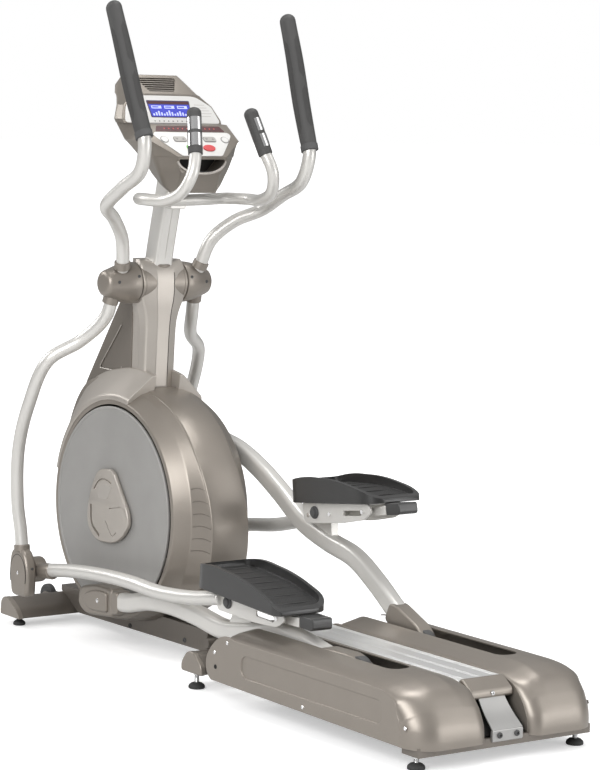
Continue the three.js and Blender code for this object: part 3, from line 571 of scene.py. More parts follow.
    def cut(self, *tools: "Piece") -> "Piece":
        """Takes the tools' shapes away."""
        return self._boolean("DIFFERENCE", tools)

    def keep(self, *tools: "Piece") -> "Piece":
        """Keeps what lies inside each tool."""
        return self._boolean("INTERSECT", tools)

    def soften(self, width: float, segments: int = 3, angle: float = 32) -> "Piece":
        """Rounds the edges that turn by more than an angle.

        Args:
            width: Width of the rounding.
            segments: Steps across it.
            angle: Least turn of an edge, in degrees.

        Returns:
            The same piece.
        """
        bevel(self.obj, width, segments, angle)
        return self

    def shell(self, wall: float) -> "Piece":
        """Gives a sheet its thickness, inwards."""
        step = self.obj.modifiers.new("shell", "SOLIDIFY")
        step.thickness, step.offset, step.use_even_offset = wall * MM, -1, False
        self._bake()
        return self

    def done(self, finish: "Finish", body: str, *nodes: str, smooth: float = 30,
             slot: str | None = None) -> Object:
        """Paints the piece and lets it ride.

        Args:
            finish: What it is painted with.
            body: The CAD body that it moves with.
            nodes: CAD nodes that it stands for.
            smooth: Least turn of an edge that stays sharp, in degrees.
            slot: The record's material slot, where it has one.

        Returns:
            The finished object.
        """
        mesh = self.obj.data
        mesh.shade_smooth()
        mesh.set_sharp_from_angle(angle=math.radians(smooth))
        mesh.materials.clear()
        mesh.materials.append(finish.material())
        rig.ride(self.obj, body)
        if nodes:
            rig.replaces(self.obj, *nodes)
        if slot:
            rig.slot(self.obj, slot)
        return self.obj


def bevel(obj: Object, width: float, segments: int, angle: float) -> None:
    """Adds a rounding of the edges that turn by more than an angle in degrees."""
    step = obj.modifiers.new("soften", "BEVEL")
    step.width, step.segments, step.limit_method = width * MM, segments, "ANGLE"
    step.angle_limit, step.harden_normals = math.radians(angle), True


def dress(node: str, finish: "Finish", width: float) -> None:
    """Paints a CAD node where it is, and rounds its edges.

    Args:
        node: The CAD node.
        finish: What it is painted with.
        width: Rounding of its edges.
    """
    obj = frame["nodes"][node]
    obj.data.materials.clear()
    obj.data.materials.append(finish.material())
    bevel(obj, width, 3, 30)


# ------------------------------------------------------------------------------------------- finishes
class Groups:
    """Shared shader effects, each made once."""

    _made: dict[str, Tree] = {}

    @classmethod
    def _new(cls, name: str, inputs: dict[str, float], outputs: dict[str, str]) -> Tree:
        """An empty group with its sockets and its end nodes."""
        tree = bpy.data.node_groups.new(name, "ShaderNodeTree")
        for label, value in inputs.items():
            socket = tree.interface.new_socket(label, in_out="INPUT", socket_type="NodeSocketFloat")
            socket.default_value = value
        for label, kind in outputs.items():
            tree.interface.new_socket(label, in_out="OUTPUT", socket_type=kind)
        tree.nodes.new("NodeGroupInput").name = "in"
        tree.nodes.new("NodeGroupOutput").name = "out"
        cls._made[name] = tree
        return tree

    @classmethod
    def grain(cls) -> Tree:
        """Fine surface grain: a bumped normal, slow colour drift and a wear mask along edges."""
        if "grain" in cls._made:
            return cls._made["grain"]
        number, inputs = "NodeSocketFloat", {"Scale": 900.0, "Bump": 0.1, "Drift": 14.0}
        outputs = {"Normal": "NodeSocketVector", "Shade": number, "Fine": number, "Edge": number}
        tree = cls._new("grain", inputs, outputs)
        node, link = tree.nodes.new, tree.links.new
        start, end = tree.nodes["in"].outputs, tree.nodes["out"].inputs
        where = node("ShaderNodeTexCoord").outputs["Object"]
        fine, slow = node("ShaderNodeTexNoise"), node("ShaderNodeTexNoise")
        fine.inputs["Detail"].default_value, slow.inputs["Detail"].default_value = 3.0, 2.0
        bump = node("ShaderNodeBump")
        bump.inputs["Distance"].default_value = 0.0004
        edge = node("ShaderNodeMapRange")
        edge.inputs["From Min"].default_value, edge.inputs["From Max"].default_value = 0.52, 0.60
        for texture, size in ((fine, "Scale"), (slow, "Drift")):
            link(where, texture.inputs["Vector"])
            link(start[size], texture.inputs["Scale"])
        link(fine.outputs["Fac"], bump.inputs["Height"])
        link(start["Bump"], bump.inputs["Strength"])
        link(node("ShaderNodeNewGeometry").outputs["Pointiness"], edge.inputs["Value"])
        link(bump.outputs["Normal"], end["Normal"])
        link(slow.outputs["Fac"], end["Shade"])
        link(fine.outputs["Fac"], end["Fine"])
        link(edge.outputs["Result"], end["Edge"])
        return tree

    @classmethod
    def weave(cls) -> Tree:
        """A field of small raised diamonds: a bumped normal and the diamonds' mask."""
        if "weave" in cls._made:
            return cls._made["weave"]
        outputs = {"Normal": "NodeSocketVector", "Mask": "NodeSocketFloat"}
        tree = cls._new("weave", {"Scale": 300.0, "Bump": 0.4}, outputs)
        node, link = tree.nodes.new, tree.links.new
        start, end = tree.nodes["in"].outputs, tree.nodes["out"].inputs
        where = node("ShaderNodeTexCoord").outputs["Object"]
        turn = node("ShaderNodeVectorRotate")
        turn.inputs["Axis"].default_value, turn.inputs["Angle"].default_value = (0, 0, 1), math.radians(45)
        cells = node("ShaderNodeTexVoronoi")
        cells.inputs["Randomness"].default_value, cells.distance = 0.0, "CHEBYCHEV"
        height = node("ShaderNodeMapRange")
        height.inputs["From Min"].default_value, height.inputs["From Max"].default_value = 0.46, 0.30
        bump = node("ShaderNodeBump")
        bump.inputs["Distance"].default_value = 0.0008
        link(where, turn.inputs["Vector"])
        link(turn.outputs["Vector"], cells.inputs["Vector"])
        link(start["Scale"], cells.inputs["Scale"])
        link(cells.outputs["Distance"], height.inputs["Value"])
        link(height.outputs["Result"], bump.inputs["Height"])
        link(start["Bump"], bump.inputs["Strength"])
        link(bump.outputs["Normal"], end["Normal"])
        link(height.outputs["Result"], end["Mask"])
        return tree


@dataclass(frozen=True)
class Finish:
    """A procedural surface finish."""

    name: str
    color: tuple[float, float, float]
    metallic: float = 0.0
    roughness: float = 0.5
    drift: float = 0.05
    grain: float = 900.0
    bump: float = 0.12
    coat: float = 0.0
    wear: float = 0.12
    glow: float = 0.0
    weave: float = 0.0

    def material(self) -> bpy.types.Material:
        """The finish's material, made at its first use."""
        found = bpy.data.materials.get(self.name)
        if found:
            return found
        made = bpy.data.materials.new(self.name)
        made.use_nodes = True
        tree = made.node_tree
        node, link = tree.nodes.new, tree.links.new
        shader = tree.nodes["Principled BSDF"]
        shader.inputs["Metallic"].default_value = self.metallic
        shader.inputs["Coat Weight"].default_value = self.coat
        shader.inputs["Coat Roughness"].default_value = 0.25
        grain = node("ShaderNodeGroup")
        grain.node_tree = Groups.grain()
        grain.inputs["Scale"].default_value = self.grain
        grain.inputs["Bump"].default_value = self.bump
        low = [c * (1 - self.drift) for c in self.color]
        high = [min(1.0, c * (1 + self.drift)) for c in self.color]
        tone = node("ShaderNodeMix")
        tone.data_type = "RGBA"
        tone.inputs["A"].default_value, tone.inputs["B"].default_value = (*low, 1), (*high, 1)
        blend = node("ShaderNodeMath")
        blend.operation = "MULTIPLY_ADD"
        blend.inputs[1].default_value = 0.5
        link(grain.outputs["Shade"], blend.inputs[0])
        link(grain.outputs["Fine"], blend.inputs[2])
        span = node("ShaderNodeMapRange")
        span.inputs["From Min"].default_value, span.inputs["From Max"].default_value = 0.55, 0.95
        link(blend.outputs["Value"], span.inputs["Value"])
        link(span.outputs["Result"], tone.inputs["Factor"])
        worn = node("ShaderNodeMix")
        worn.data_type = "RGBA"
        worn.inputs["B"].default_value = (*[min(1.0, c * 1.5 + 0.03) for c in self.color], 1)
        much = node("ShaderNodeMath")
        much.operation = "MULTIPLY"
        much.inputs[1].default_value = self.wear
        link(grain.outputs["Edge"], much.inputs[0])
        link(much.outputs["Value"], worn.inputs["Factor"])
        link(tone.outputs["Result"], worn.inputs["A"])
        link(worn.outputs["Result"], shader.inputs["Base Color"])
        rough = node("ShaderNodeMapRange")
        rough.inputs["To Min"].default_value = self.roughness * 0.9
        rough.inputs["To Max"].default_value = min(1.0, self.roughness * 1.12)
        link(grain.outputs["Fine"], rough.inputs["Value"])
        link(rough.outputs["Result"], shader.inputs["Roughness"])
        normal = grain.outputs["Normal"]
        if self.weave > 0:
            field = node("ShaderNodeGroup")
            field.node_tree = Groups.weave()
            field.inputs["Scale"].default_value = self.weave
            normal = field.outputs["Normal"]
        link(normal, shader.inputs["Normal"])
        if self.glow > 0:
            shader.inputs["Emission Color"].default_value = (*self.color, 1)
            shader.inputs["Emission Strength"].default_value = self.glow
        return made


TAUPE = Finish("taupe_moulding", (0.280, 0.250, 0.218), 0.60, 0.39, 0.04, 2600, 0.08, 0.15)
TAUPE_DARK = Finish("taupe_frame_paint", (0.185, 0.165, 0.144), 0.55, 0.42, 0.05, 2200, 0.14, 0.08)
# Painted highlight: a paler copy of the taupe moulding for bright beads and edges, the tray lip, the hub inset and one
# column seam.
TAUPE_HIGHLIGHT = Finish("pale_taupe_moulding", (0.46, 0.43, 0.395), 0.60, 0.34, 0.04, 2600, 0.10, 0.15)
# Painted shade: a darker copy of the taupe moulding for the console housing.
TAUPE_CONSOLE_SHADE = Finish("console_moulding", (0.222, 0.198, 0.171), 0.60, 0.38, 0.04, 2600, 0.08, 0.15)
# Painted light: a lighter copy of the taupe moulding for the column, the case saddles and the hub covers.
TAUPE_LIT = Finish("soft_taupe_moulding", (0.47, 0.435, 0.395), 0.60, 0.40, 0.04, 2600, 0.08, 0.12)
TAUPE_SHADE = Finish("shaded_taupe_moulding", (0.20, 0.178, 0.154), 0.55, 0.42, 0.04, 2600, 0.08, 0.08)
SILVER = Finish("silver_paint", (0.66, 0.645, 0.615), 0.45, 0.34, 0.025, 3000, 0.06, 0.20)
DISC_GREY = Finish("disc_moulding", (0.335, 0.327, 0.315), 0.35, 0.50, 0.05, 2400, 0.16)
RUBBER = Finish("grip_rubber", (0.050, 0.049, 0.048), 0.0, 0.62, 0.12, 2000, 0.35, 0.0, 0.2)
GRIP_PANEL = Finish("grip_panel_rubber", (0.038, 0.037, 0.036), 0.0, 0.74, 0.12, 1500, 0.5, 0.0, 0.1)
TREAD = Finish("tread_rubber", (0.015, 0.0145, 0.014), 0.0, 0.42, 0.12, 1500, 0.5, 0.0, 0.1, 0.0, 170.0)
PEDAL = Finish("pedal_moulding", (0.016, 0.0155, 0.015), 0.0, 0.36, 0.10, 1800, 0.16, 0.5, 0.2)
BLACK = Finish("black_plastic", (0.022, 0.022, 0.022), 0.0, 0.50, 0.10, 1600, 0.2)
FOOT_RUBBER = Finish("foot_rubber", (0.03, 0.03, 0.03), 0.0, 0.70, 0.12, 1500, 0.4)
CHROME = Finish("chrome", (0.80, 0.80, 0.80), 1.0, 0.14, 0.02, 2500, 0.03)
STEEL = Finish("machined_steel", (0.50, 0.50, 0.49), 1.0, 0.34, 0.06, 1800, 0.12)
IRON = Finish("turned_iron", (0.20, 0.20, 0.20), 0.9, 0.42, 0.08, 1500, 0.2)
ALUMINIUM = Finish("track_aluminium", (0.88, 0.88, 0.87), 0.75, 0.33, 0.03, 2400, 0.08)
OVERLAY = Finish("console_overlay", (0.70, 0.69, 0.67), 0.25, 0.36, 0.02, 2600, 0.04, 0.3)
KEY_PLATE = Finish("key_plate", (0.40, 0.385, 0.36), 0.25, 0.40, 0.02, 2600, 0.05, 0.2)
PRINT = Finish("grey_print", (0.22, 0.21, 0.20), 0.0, 0.5, 0.03, 2600, 0.03)
LCD_BLUE = Finish("display_blue", (0.045, 0.055, 0.42), 0.0, 0.25, 0.03, 2600, 0.0, 0.6, 0.0, 0.35)
LCD_PIXEL = Finish("display_pixels", (0.42, 0.46, 0.90), 0.0, 0.3, 0.02, 2600, 0.0, 0.5, 0.0, 0.5)
LCD_BAND = Finish("display_band", (0.05, 0.03, 0.09), 0.0, 0.3, 0.03, 2600, 0.0, 0.5)
STRIP_RED = Finish("strip_window", (0.075, 0.022, 0.024), 0.0, 0.25, 0.05, 2600, 0.0, 0.6)
LED_RED = Finish("led_red", (0.45, 0.05, 0.04), 0.0, 0.35, 0.03, 2600, 0.0, 0.3, 0.0, 0.5)
STOP_RED = Finish("stop_key", (0.62, 0.055, 0.06), 0.0, 0.36, 0.03, 2600, 0.03, 0.3)
GO_GREEN = Finish("start_key", (0.16, 0.52, 0.10), 0.0, 0.36, 0.03, 2600, 0.03, 0.3)
CAST_GREY = Finish("cast_grey", (0.40, 0.395, 0.385), 0.55, 0.36, 0.04, 2400, 0.10)
# Painted shade: near black put where recesses, holes and openings lie in shade; it also draws the real dark seam lines
# of the column and the joint casing.
SHADE_AND_SEAMS = Finish("deep_recess", (0.012, 0.011, 0.010), 0.0, 0.8, 0.1, 1200, 0.2)


def button(name: str, at: Point, axis: str, radius: float, height: float, finish: Finish, body: str,
           place: Place = MACHINE) -> None:
    """A low round screw head with a socket in it.

    Args:
        name: The object's name.
        at: Where its seat is.
        axis: The axis that it faces along.
        radius: Radius of the head.
        height: How far it stands out; a negative height faces the other way.
        finish: What it is painted with.
        body: The CAD body that it moves with.
        place: Where the group stands.
    """
    h, r = height, radius
    profile = [(0, h * 0.35), (r * 0.42, h * 0.35), (r * 0.42, h), (r * 0.78, h), (r, h * 0.55), (r, 0),
               (0, 0)]
    Piece.lathe(name, profile, 24, at[1], at[2], place, axis, at[0]).done(finish, body, smooth=35)


# --------------------------------------------------------------------------------------------- stand
@dataclass
class Foot:
    """A levelling foot: a rubber pad, a threaded stem and a lock nut."""

    side: Side
    name: str
    x: float
    y: float
    height: float
    radius: float = 22.0

    def build(self) -> None:
        """Makes the pad, the stem and the nut."""
        label, x = f"{self.side.word}_{self.name}_foot", self.side.value * self.x
        r = self.radius
        pad = [(0, 0), (r - 1.5, 0), (r, 1.5), (r, 6), (r - 1.5, 9.5), (r - 7, 14), (8, 16), (0, 16)]
        rubber = Piece.lathe(f"{label}_pad", pad, 40, self.y, 0, axis="z", x=x)
        rubber.done(FOOT_RUBBER, "base", label, slot="rubber")
        top = self.height + 4
        stem, z = [(0, 15), (6, 15)], 15.0
        while z < top - 3:
            stem += [(6.2, z + 0.5), (5.4, z + 1.0)]
            z += 1.25
        stem += [(6, top), (0, top)]
        Piece.lathe(f"{label}_stem", stem, 24, self.y, 0, axis="z", x=x).done(CHROME, "base")
        hexagon = [(x + 10 * math.cos(a), self.y + 10 * math.sin(a))
                   for a in (math.pi / 3 * k for k in range(6))]
        low = max(16.5, self.height - 8)
        Piece.prism(f"{label}_nut", hexagon, low, self.height - 0.6, "z").soften(0.8, 2).done(CHROME, "base")


@dataclass
class Stabiliser:
    """A cross foot with a rounded back and a moulded cap at each end.

    The wheel's value gives the transport wheels' x, y and z, and the y at which their ears begin.
    """

    name: str
    corners: Sequence[Point]
    half: float
    wheel: tuple[float, float, float, float] | None = None

    def _grown(self, grow: float) -> Flat:
        """The section, grown all round."""
        mid_y = sum(c[0] for c in self.corners) / len(self.corners)
        mid_z = sum(c[1] for c in self.corners) / len(self.corners)
        return rounded([
            (y + math.copysign(grow, y - mid_y), z + math.copysign(grow, z - mid_z), radius)
            for y, z, radius in self.corners
        ])

    def build(self) -> None:
        """Makes the tube, its caps and the wheel ears."""
        tube = Piece.prism(f"{self.name}_tube", self._grown(0), -self.half + 2, self.half - 2)
        tube.soften(1.2).done(TAUPE_DARK, "base", self.name, slot="frame_paint")
        for side in Side:
            s, word = side.value, side.word
            cap = Piece.prism(f"{self.name}_{word}_cap", self._grown(1.0), s * (self.half - 16),
                              s * self.half)
            cap.soften(4, 4).done(TAUPE, "base", slot="cover")
            if self.wheel:
                x, y, z, root = self.wheel
                ear = rounded([(root, z - 14), (y, z - 14, 10), (y + 14, z, 10), (y, z + 14, 10),
                               (root, z + 14)])
                for k, off in enumerate((-15, 15)):
                    mid = s * x + off
                    plate = Piece.prism(f"{self.name}_{word}_ear_{k}", ear, mid - 2, mid + 2)
                    plate.soften(0.8).done(TAUPE_DARK, "base")
                    button(f"{self.name}_{word}_ear_bolt_{k}", (mid + off / 7, y, z), "x", 7, off / 4, STEEL,
                           "base")


@dataclass
class TransportWheel:
    """A hard transport wheel with a stepped face."""

    side: Side
    x: float = 66.0
    y: float = 1996.0
    z: float = 58.0

    def build(self) -> None:
        """Makes the wheel."""
        half = [(5.3, 12), (12, 12), (14, 10), (22, 9), (26, 10.5), (31, 10), (33.4, 7.5), (34, 4)]
        node = f"{self.side.word}_transport_wheel"
        wheel = Piece.lathe(f"{node}_tyre", mirrored(half), 56, self.y, self.z, x=self.side.value * self.x)
        wheel.done(BLACK, f"{self.side.word}_wheel", node, slot="black_plastic", smooth=24)


@dataclass
class CentreTrack:
    """The ribbed step-through track, its end cap and the rear end plates."""

    half: float = 68.0
    low: float = 108.0
    top: float = 180.0
    rear: float = 73.0
    front: float = 860.0

    def build(self) -> None:
        """Makes the track, the cap and the rear end."""
        half, top = self.half, self.top
        line = [(-half, self.low), (half, self.low), (half, top - 6), (half - 1.2, top - 2), (half - 4, top)]
        for x in (61, 54, 47, 4, -4, -47, -54, -61):
            line += [(x + 1.6, top), (x + 1.1, top - 3), (x - 1.1, top - 3), (x - 1.6, top)]
        line += [(4 - half, top), (1.2 - half, top - 2), (-half, top - 6)]
        track = Piece.prism("track_extrusion", line, self.rear, self.front, "y")
        track.soften(0.5, 2, 25).done(ALUMINIUM, "base", "centre_track", slot="track")
        face = [(72.7, 183), (64, 183, 6), (27, 158, 8), (25, 142, 4), (40, 134, 6), (72.7, 134)]
        cap = Piece.prism("rear_cap_moulding", rounded(face), -66, 66)
        cap.soften(4, 4).done(TAUPE, "base", "rear_end_cap", slot="cover")
        button("rear_cap_screw", (0, 25.5, 151), "y", 6, -3.5, CHROME, "base")
        hollow = [(36, 146), (22, 127), (6, 109), (-9, 95), (-22, 84), (-33, 74)]
        rows = [[(w * x, y, z) for x in np.linspace(-1, 1, 13)]
                for (y, z), w in zip(centripetal(hollow, 24), np.linspace(40, 47, 24))]
        Piece.grid("rear_end_plate", rows).shell(3).done(CAST_GREY, "base")
        face = rounded([(-48, 47, 5), (48, 47, 5), (48, 76, 6), (-48, 76, 6)])
        block = Piece.prism("rear_end_block", face, -38, -28, "y")
        block.soften(2.5, 3).done(CAST_GREY, "base")
        # Painted shade: a near-black block filling the dark opening behind the rear end plate.
        Piece.prism("rear_end_back", [(70, 60), (70, 130), (-8, 80), (-20, 60)], -67, 67).done(SHADE_AND_SEAMS, "base")
        for k, x in enumerate((-27, 27)):
            button(f"rear_end_bolt_{k}", (x, -38, 63), "y", 7.5, -5, BLACK, "base")


@dataclass
class Stand:
    """The welded frame on the floor."""

    def build(self) -> None:
        """Makes the cross feet, dresses the beams and sets the levelling feet."""
        dress("main_frame", TAUPE_DARK, 2.5)
        dress("rear_frame", TAUPE_DARK, 1.2)
        front = [(1853, 27, 4), (1871, 51, 14), (1906, 71, 16), (1934, 82, 14), (1957, 68, 16), (1960, 27, 6)]
        wheel = TransportWheel(Side.RIGHT)
        Stabiliser("front_stabiliser", front, 250, (wheel.x, wheel.y, wheel.z, 1950)).build()
        middle = [(911, 44, 8), (913, 68, 16), (950, 99, 18), (980, 99, 18), (1006, 68, 16), (1006, 44, 8)]
        Stabiliser("mid_stabiliser", middle, 250).build()
        for side in Side:
            Foot(side, "front", 221, 1900, 27, 18).build()
            Foot(side, "mid", 227, 963, 44).build()
            Foot(side, "rear", 250, 0, 34).build()
            TransportWheel(side).build()
            for k, (y, z) in enumerate(((1556, 44), (1276, 54))):
                x = side.value * 58
                button(f"{side.word}_beam_screw_{k}", (x, y, z), "x", 7, side.value * 3, BLACK, "base")
        CentreTrack().build()


# --------------------------------------------------------------------------------------- rail covers
@dataclass
class RailCover:
    """A moulded rail cover: a loaf-shaped skin with a roller slot, and a flat plate on each side."""

    side: Side
    inner: float = 69.0
    outer: float = 287.0
    slot_in: float = 138.0
    slot_out: float = 204.0
    low: float = 51.0
    skin_end: float = 738.0
    inner_bend: float = 103.0
    outer_bend: float = 213.0
    crest_line: tuple = (
        (-53, 51), (-53, 72), (-47.2, 102), (-29.6, 136), (-20.8, 148), (14.2, 181), (59.7, 196.5),
        (105, 202), (160, 203), (300, 203), (500, 203), (690, 203), (722, 202), (748, 194), (770, 182),
        (792, 167), (808, 153), (822, 137), (832, 121), (836, 106), (835.5, 94), (832, 79), (821, 64),
        (808, 57),
    )
    widths: tuple = (69, 75, 85, 100, 120, 133, 140, 200, 212, 230, 253, 268, 280, 287)
    drops: tuple = (22, 18.5, 15.8, 11.6, 5.6, 1.4, 0, 0, 1.5, 4.5, 8.5, 13.5, 19, 24)

    def _crest(self) -> tuple[np.ndarray, np.ndarray]:
        """Points along the middle of the cover in side view, and the outward direction at each."""
        line = centripetal(self.crest_line, 260)
        return line, leftward(line)

    def _edge(self, width: float) -> np.ndarray:
        """The cover's side view at one distance from the middle plane.

        Args:
            width: Distance from the middle plane.

        Returns:
            Points in (y, z).
        """
        line, out = self._crest()
        top = np.interp(width, self.widths, self.drops)
        rear = 0.0
        for past, radius in ((width - self.outer_bend, 74), (self.inner_bend - width, 34)):
            if past > 0:
                rear = radius - math.sqrt(max(0.0, radius**2 - past**2))
        share = np.clip(-out[:, 0], 0, 1) ** 1.6
        nose = np.clip((line[:, 0] - 700) / 90, 0, 1)
        drop = (top * (1 - share) + rear * share) * (1 - nose * nose * (3 - 2 * nose))
        edge = line - out * drop[:, None]
        edge[:, 1] = np.maximum(edge[:, 1], self.low)
        return edge

    def _plate(self, name: str, width: float, thick: float) -> Piece:
        """A side plate that follows the skin's edge and closes along the bottom."""
        s = self.side.value
        edge = [tuple(p) for p in self._edge(self.outer if width > 200 else width)[::3]]
        return Piece.prism(name, edge, s * (width - thick / 2), s * (width + thick / 2))

    def build(self) -> None:
        """Makes the skin, the plates, the panel and the screws."""
        s, word = self.side.value, self.side.word
        columns = [69, 69.6, 71, 74, 79, 86, 95, 105, 115, 125, 132, 138, 146, 158, 171, 184, 196, 204, 212,
                   220, 229, 238, 247, 255, 262, 268, 273, 277, 280, 283, 285, 286.4, 287]
        keep = self._crest()[0][:, 0] < self.skin_end
        edges = [self._edge(w)[keep] for w in columns]
        rows = [[(s * w, e[k][0], e[k][1]) for w, e in zip(columns, edges)] for k in range(len(edges[0]))]
        skin = Piece.grid(f"{word}_rail_skin", rows).shell(3)
        slot = rounded([
            (s * self.slot_in, 160, 33), (s * self.slot_out, 160, 33), (s * self.slot_out, 900),
            (s * self.slot_in, 900),
        ], 12)
        skin.cut(Piece.prism("slot_tool", slot, 150, 240, "z"))
        skin.soften(1.0, 2, 50).done(TAUPE, "base", f"{word}_rail_cover", slot="cover", smooth=40)
        outside = self._plate(f"{word}_rail_plate", self.outer - 2.6, 6)
        sunk = rounded([(88, 91, 28), (678, 91, 28), (678, 149, 28), (88, 149, 28)], 10)
        outside.cut(Piece.prism("panel_tool", sunk, s * (self.outer - 3.2), s * (self.outer + 6)))
        outside.soften(2.2, 3, 50).done(TAUPE, "base", slot="cover")
        self._plate(f"{word}_rail_inner_plate", self.inner + 1.4, 2.8).soften(0.8).done(TAUPE, "base")
        face = s * (self.outer + 0.4)
        for k, (y, z) in enumerate(((740, 168), (796, 134), (408, 69), (0, 102))):
            button(f"{word}_rail_screw_{k}", (face, y, z), "x", 5, s * 2, CHROME, "base")
        # Painted shade: a near-black sheet low inside the cover, seen through the roller slot.
        shade_sheet = [(0, 58), (755, 58), (755, 62), (0, 62)]
        Piece.prism(f"{word}_rail_lining", shade_sheet, s * 74, s * 282).done(SHADE_AND_SEAMS, "base")
        # Painted shade: a near-black disc where the plate's hole lies in shade.
        button(f"{word}_rail_plug", (face, 791, 97), "x", 6, s * 1.2, SHADE_AND_SEAMS, "base")


# -------------------------------------------------------------------------------------------- shroud
@dataclass
class SideCase:
    """One half of the drive shroud: a ring about the disc, a steep band and a gill panel out to the spine."""

    side: Side
    opening: float = 297.0
    ring: float = 311.0
    step: float = 341.0
    half: float = 125.0
    shelf: float = 84.0
    edge: float = 60.0
    gills: int = 6
    gill_top: float = 100.0
    gill_gap: float = 34.0
    gill_reach: float = 380.0
    reaches: tuple = (
        (0, 380), (30, 404), (52, 420), (75, 378), (90, 350), (100, 346), (110, 348), (120, 354), (130, 361),
        (140, 366), (150, 371), (160, 382), (170, 395), (180, 406), (190, 411), (200, 413), (212, 380),
        (224, 346), (238, 331), (250, 326), (270, 320), (292, 330), (315, 362), (340, 378),
    )

    def outline(self, count: int = 260) -> np.ndarray:
        """The outer edge in (y, z) from the crank."""
        knots = [(r * math.cos(math.radians(a)), r * math.sin(math.radians(a))) for a, r in self.reaches]
        return centripetal(knots, count, True)[:-1]

    def _row(self, y: float, z: float) -> list[Spot]:
        """The skin from the lip to the middle plane, towards one point of the outline.

        Args:
            y: The outline point's y from the crank.
            z: The outline point's z from the crank.

        Returns:
            The skin's points.
        """
        reach = math.hypot(y, z)
        step = min(self.step, self.ring + 0.8 * (reach - self.ring))
        corners = [
            (self.opening, 108), (self.opening, self.half, 2.5), (self.ring, self.half, 4),
            (step, self.shelf, 3.5), (reach, self.edge, 7), (reach, 0.4),
        ]
        s = self.side.value
        return [(s * x, CRANK.y + r * y / reach, CRANK.z + r * z / reach)
                for r, x in rounded(corners, 6, False)]

    def build(self) -> None:
        """Makes the skin, a dark drum of painted shade behind the disc, and the gills."""
        word, s = self.side.word, self.side.value
        line = self.outline()
        skin = Piece.grid(f"{word}_case_skin", [self._row(y, z) for y, z in line], True).shell(3)
        skin.done(TAUPE, "base", f"{word}_side_case", slot="cover", smooth=38)
        # Painted shade: a near-black drum inside the ring, where the recessed disc lies in shade.
        drum = [(self.opening + 0.5, 108), (self.opening + 0.5, 70), (self.opening + 3, 70),
                (self.opening + 3, 108)]
        dark = Piece.lathe(f"{word}_case_throat", on_side(drum, s), 120, CRANK.y, CRANK.z)
        dark.done(SHADE_AND_SEAMS, "base")
        self._saddle(s, word)
        for k in range(self.gills):
            up = self.gill_top - k * self.gill_gap
            turn = 180 - math.degrees(math.asin(up / self.gill_reach))
            reach = float(np.interp(turn, *zip(*self.reaches)))
            points = []
            for t in (0.0, 0.25, 0.5, 0.75, 1.0):
                r = self.step + 5 + (reach - self.step - 10) * t
                x = self.shelf + (self.edge - self.shelf) * (r - self.step) / (reach - self.step) + 0.5
                z = up + 5 * math.sin(math.pi * t)
                points.append((s * x, CRANK.y - math.sqrt(r * r - z * z), CRANK.z + z))
            gill = Piece.sweep(f"{word}_case_gill_{k}", points, ring(1.3, 1.1, 10), 24, domes=(1, 1))
            gill.done(TAUPE_SHADE, "base")

    def _saddle(self, s: int, word: str) -> None:
        """Makes the broad saddle over the ring, ahead of the column, with painted light: a lighter copy of the
        moulding.
        """
        rings = []
        for a in np.linspace(14, 102, 46):
            turn = math.radians(a)
            far = float(np.interp(a, (14, 30, 52, 75, 102), (386, 404, 420, 400, 393)))
            lift = 3 * min(1.0, (a - 14) / 30) - 1.5
            section = rounded([
                (310, 60), (310, self.half + lift, 3), (324, self.half - 1 + lift, 8),
                (far, 55 - 2 * lift, 10), (far, 40), (330, 40),
            ], 6)
            rings.append([(s * x, CRANK.y + r * math.cos(turn), CRANK.z + r * math.sin(turn))
                          for r, x in section])
        # Painted light: the saddle takes the lighter copy of the moulding.
        Piece.loft(f"{word}_case_saddle", rings).soften(3, 3, 60).done(TAUPE_LIT, "base", smooth=34)


@dataclass
class Spine:
    """The crowned band along the rear of the shroud, between its two halves."""

    half: float = 61.5
    start: float = 99.0
    end: float = 203.0
    rise: float = 7.0

    def build(self) -> None:
        """Makes the band."""
        angles, reaches = zip(*SideCase(Side.LEFT).reaches)
        section = [(-self.half, -16), (-self.half, 1, 5), (-34, self.rise * 0.8, 30), (0, self.rise, 30),
                   (34, self.rise * 0.8, 30), (self.half, 1, 5), (self.half, -16)]
        rings = []
        for a in np.linspace(self.start, self.end, 90):
            reach, turn = float(np.interp(a, angles, reaches)), math.radians(a)
            rings.append([(x, CRANK.y + (reach + h) * math.cos(turn), CRANK.z + (reach + h) * math.sin(turn))
                          for x, h in rounded(section, 5, False)])
        Piece.loft("spine_body", rings).done(TAUPE, "base", "spine_cover", slot="cover", smooth=40)


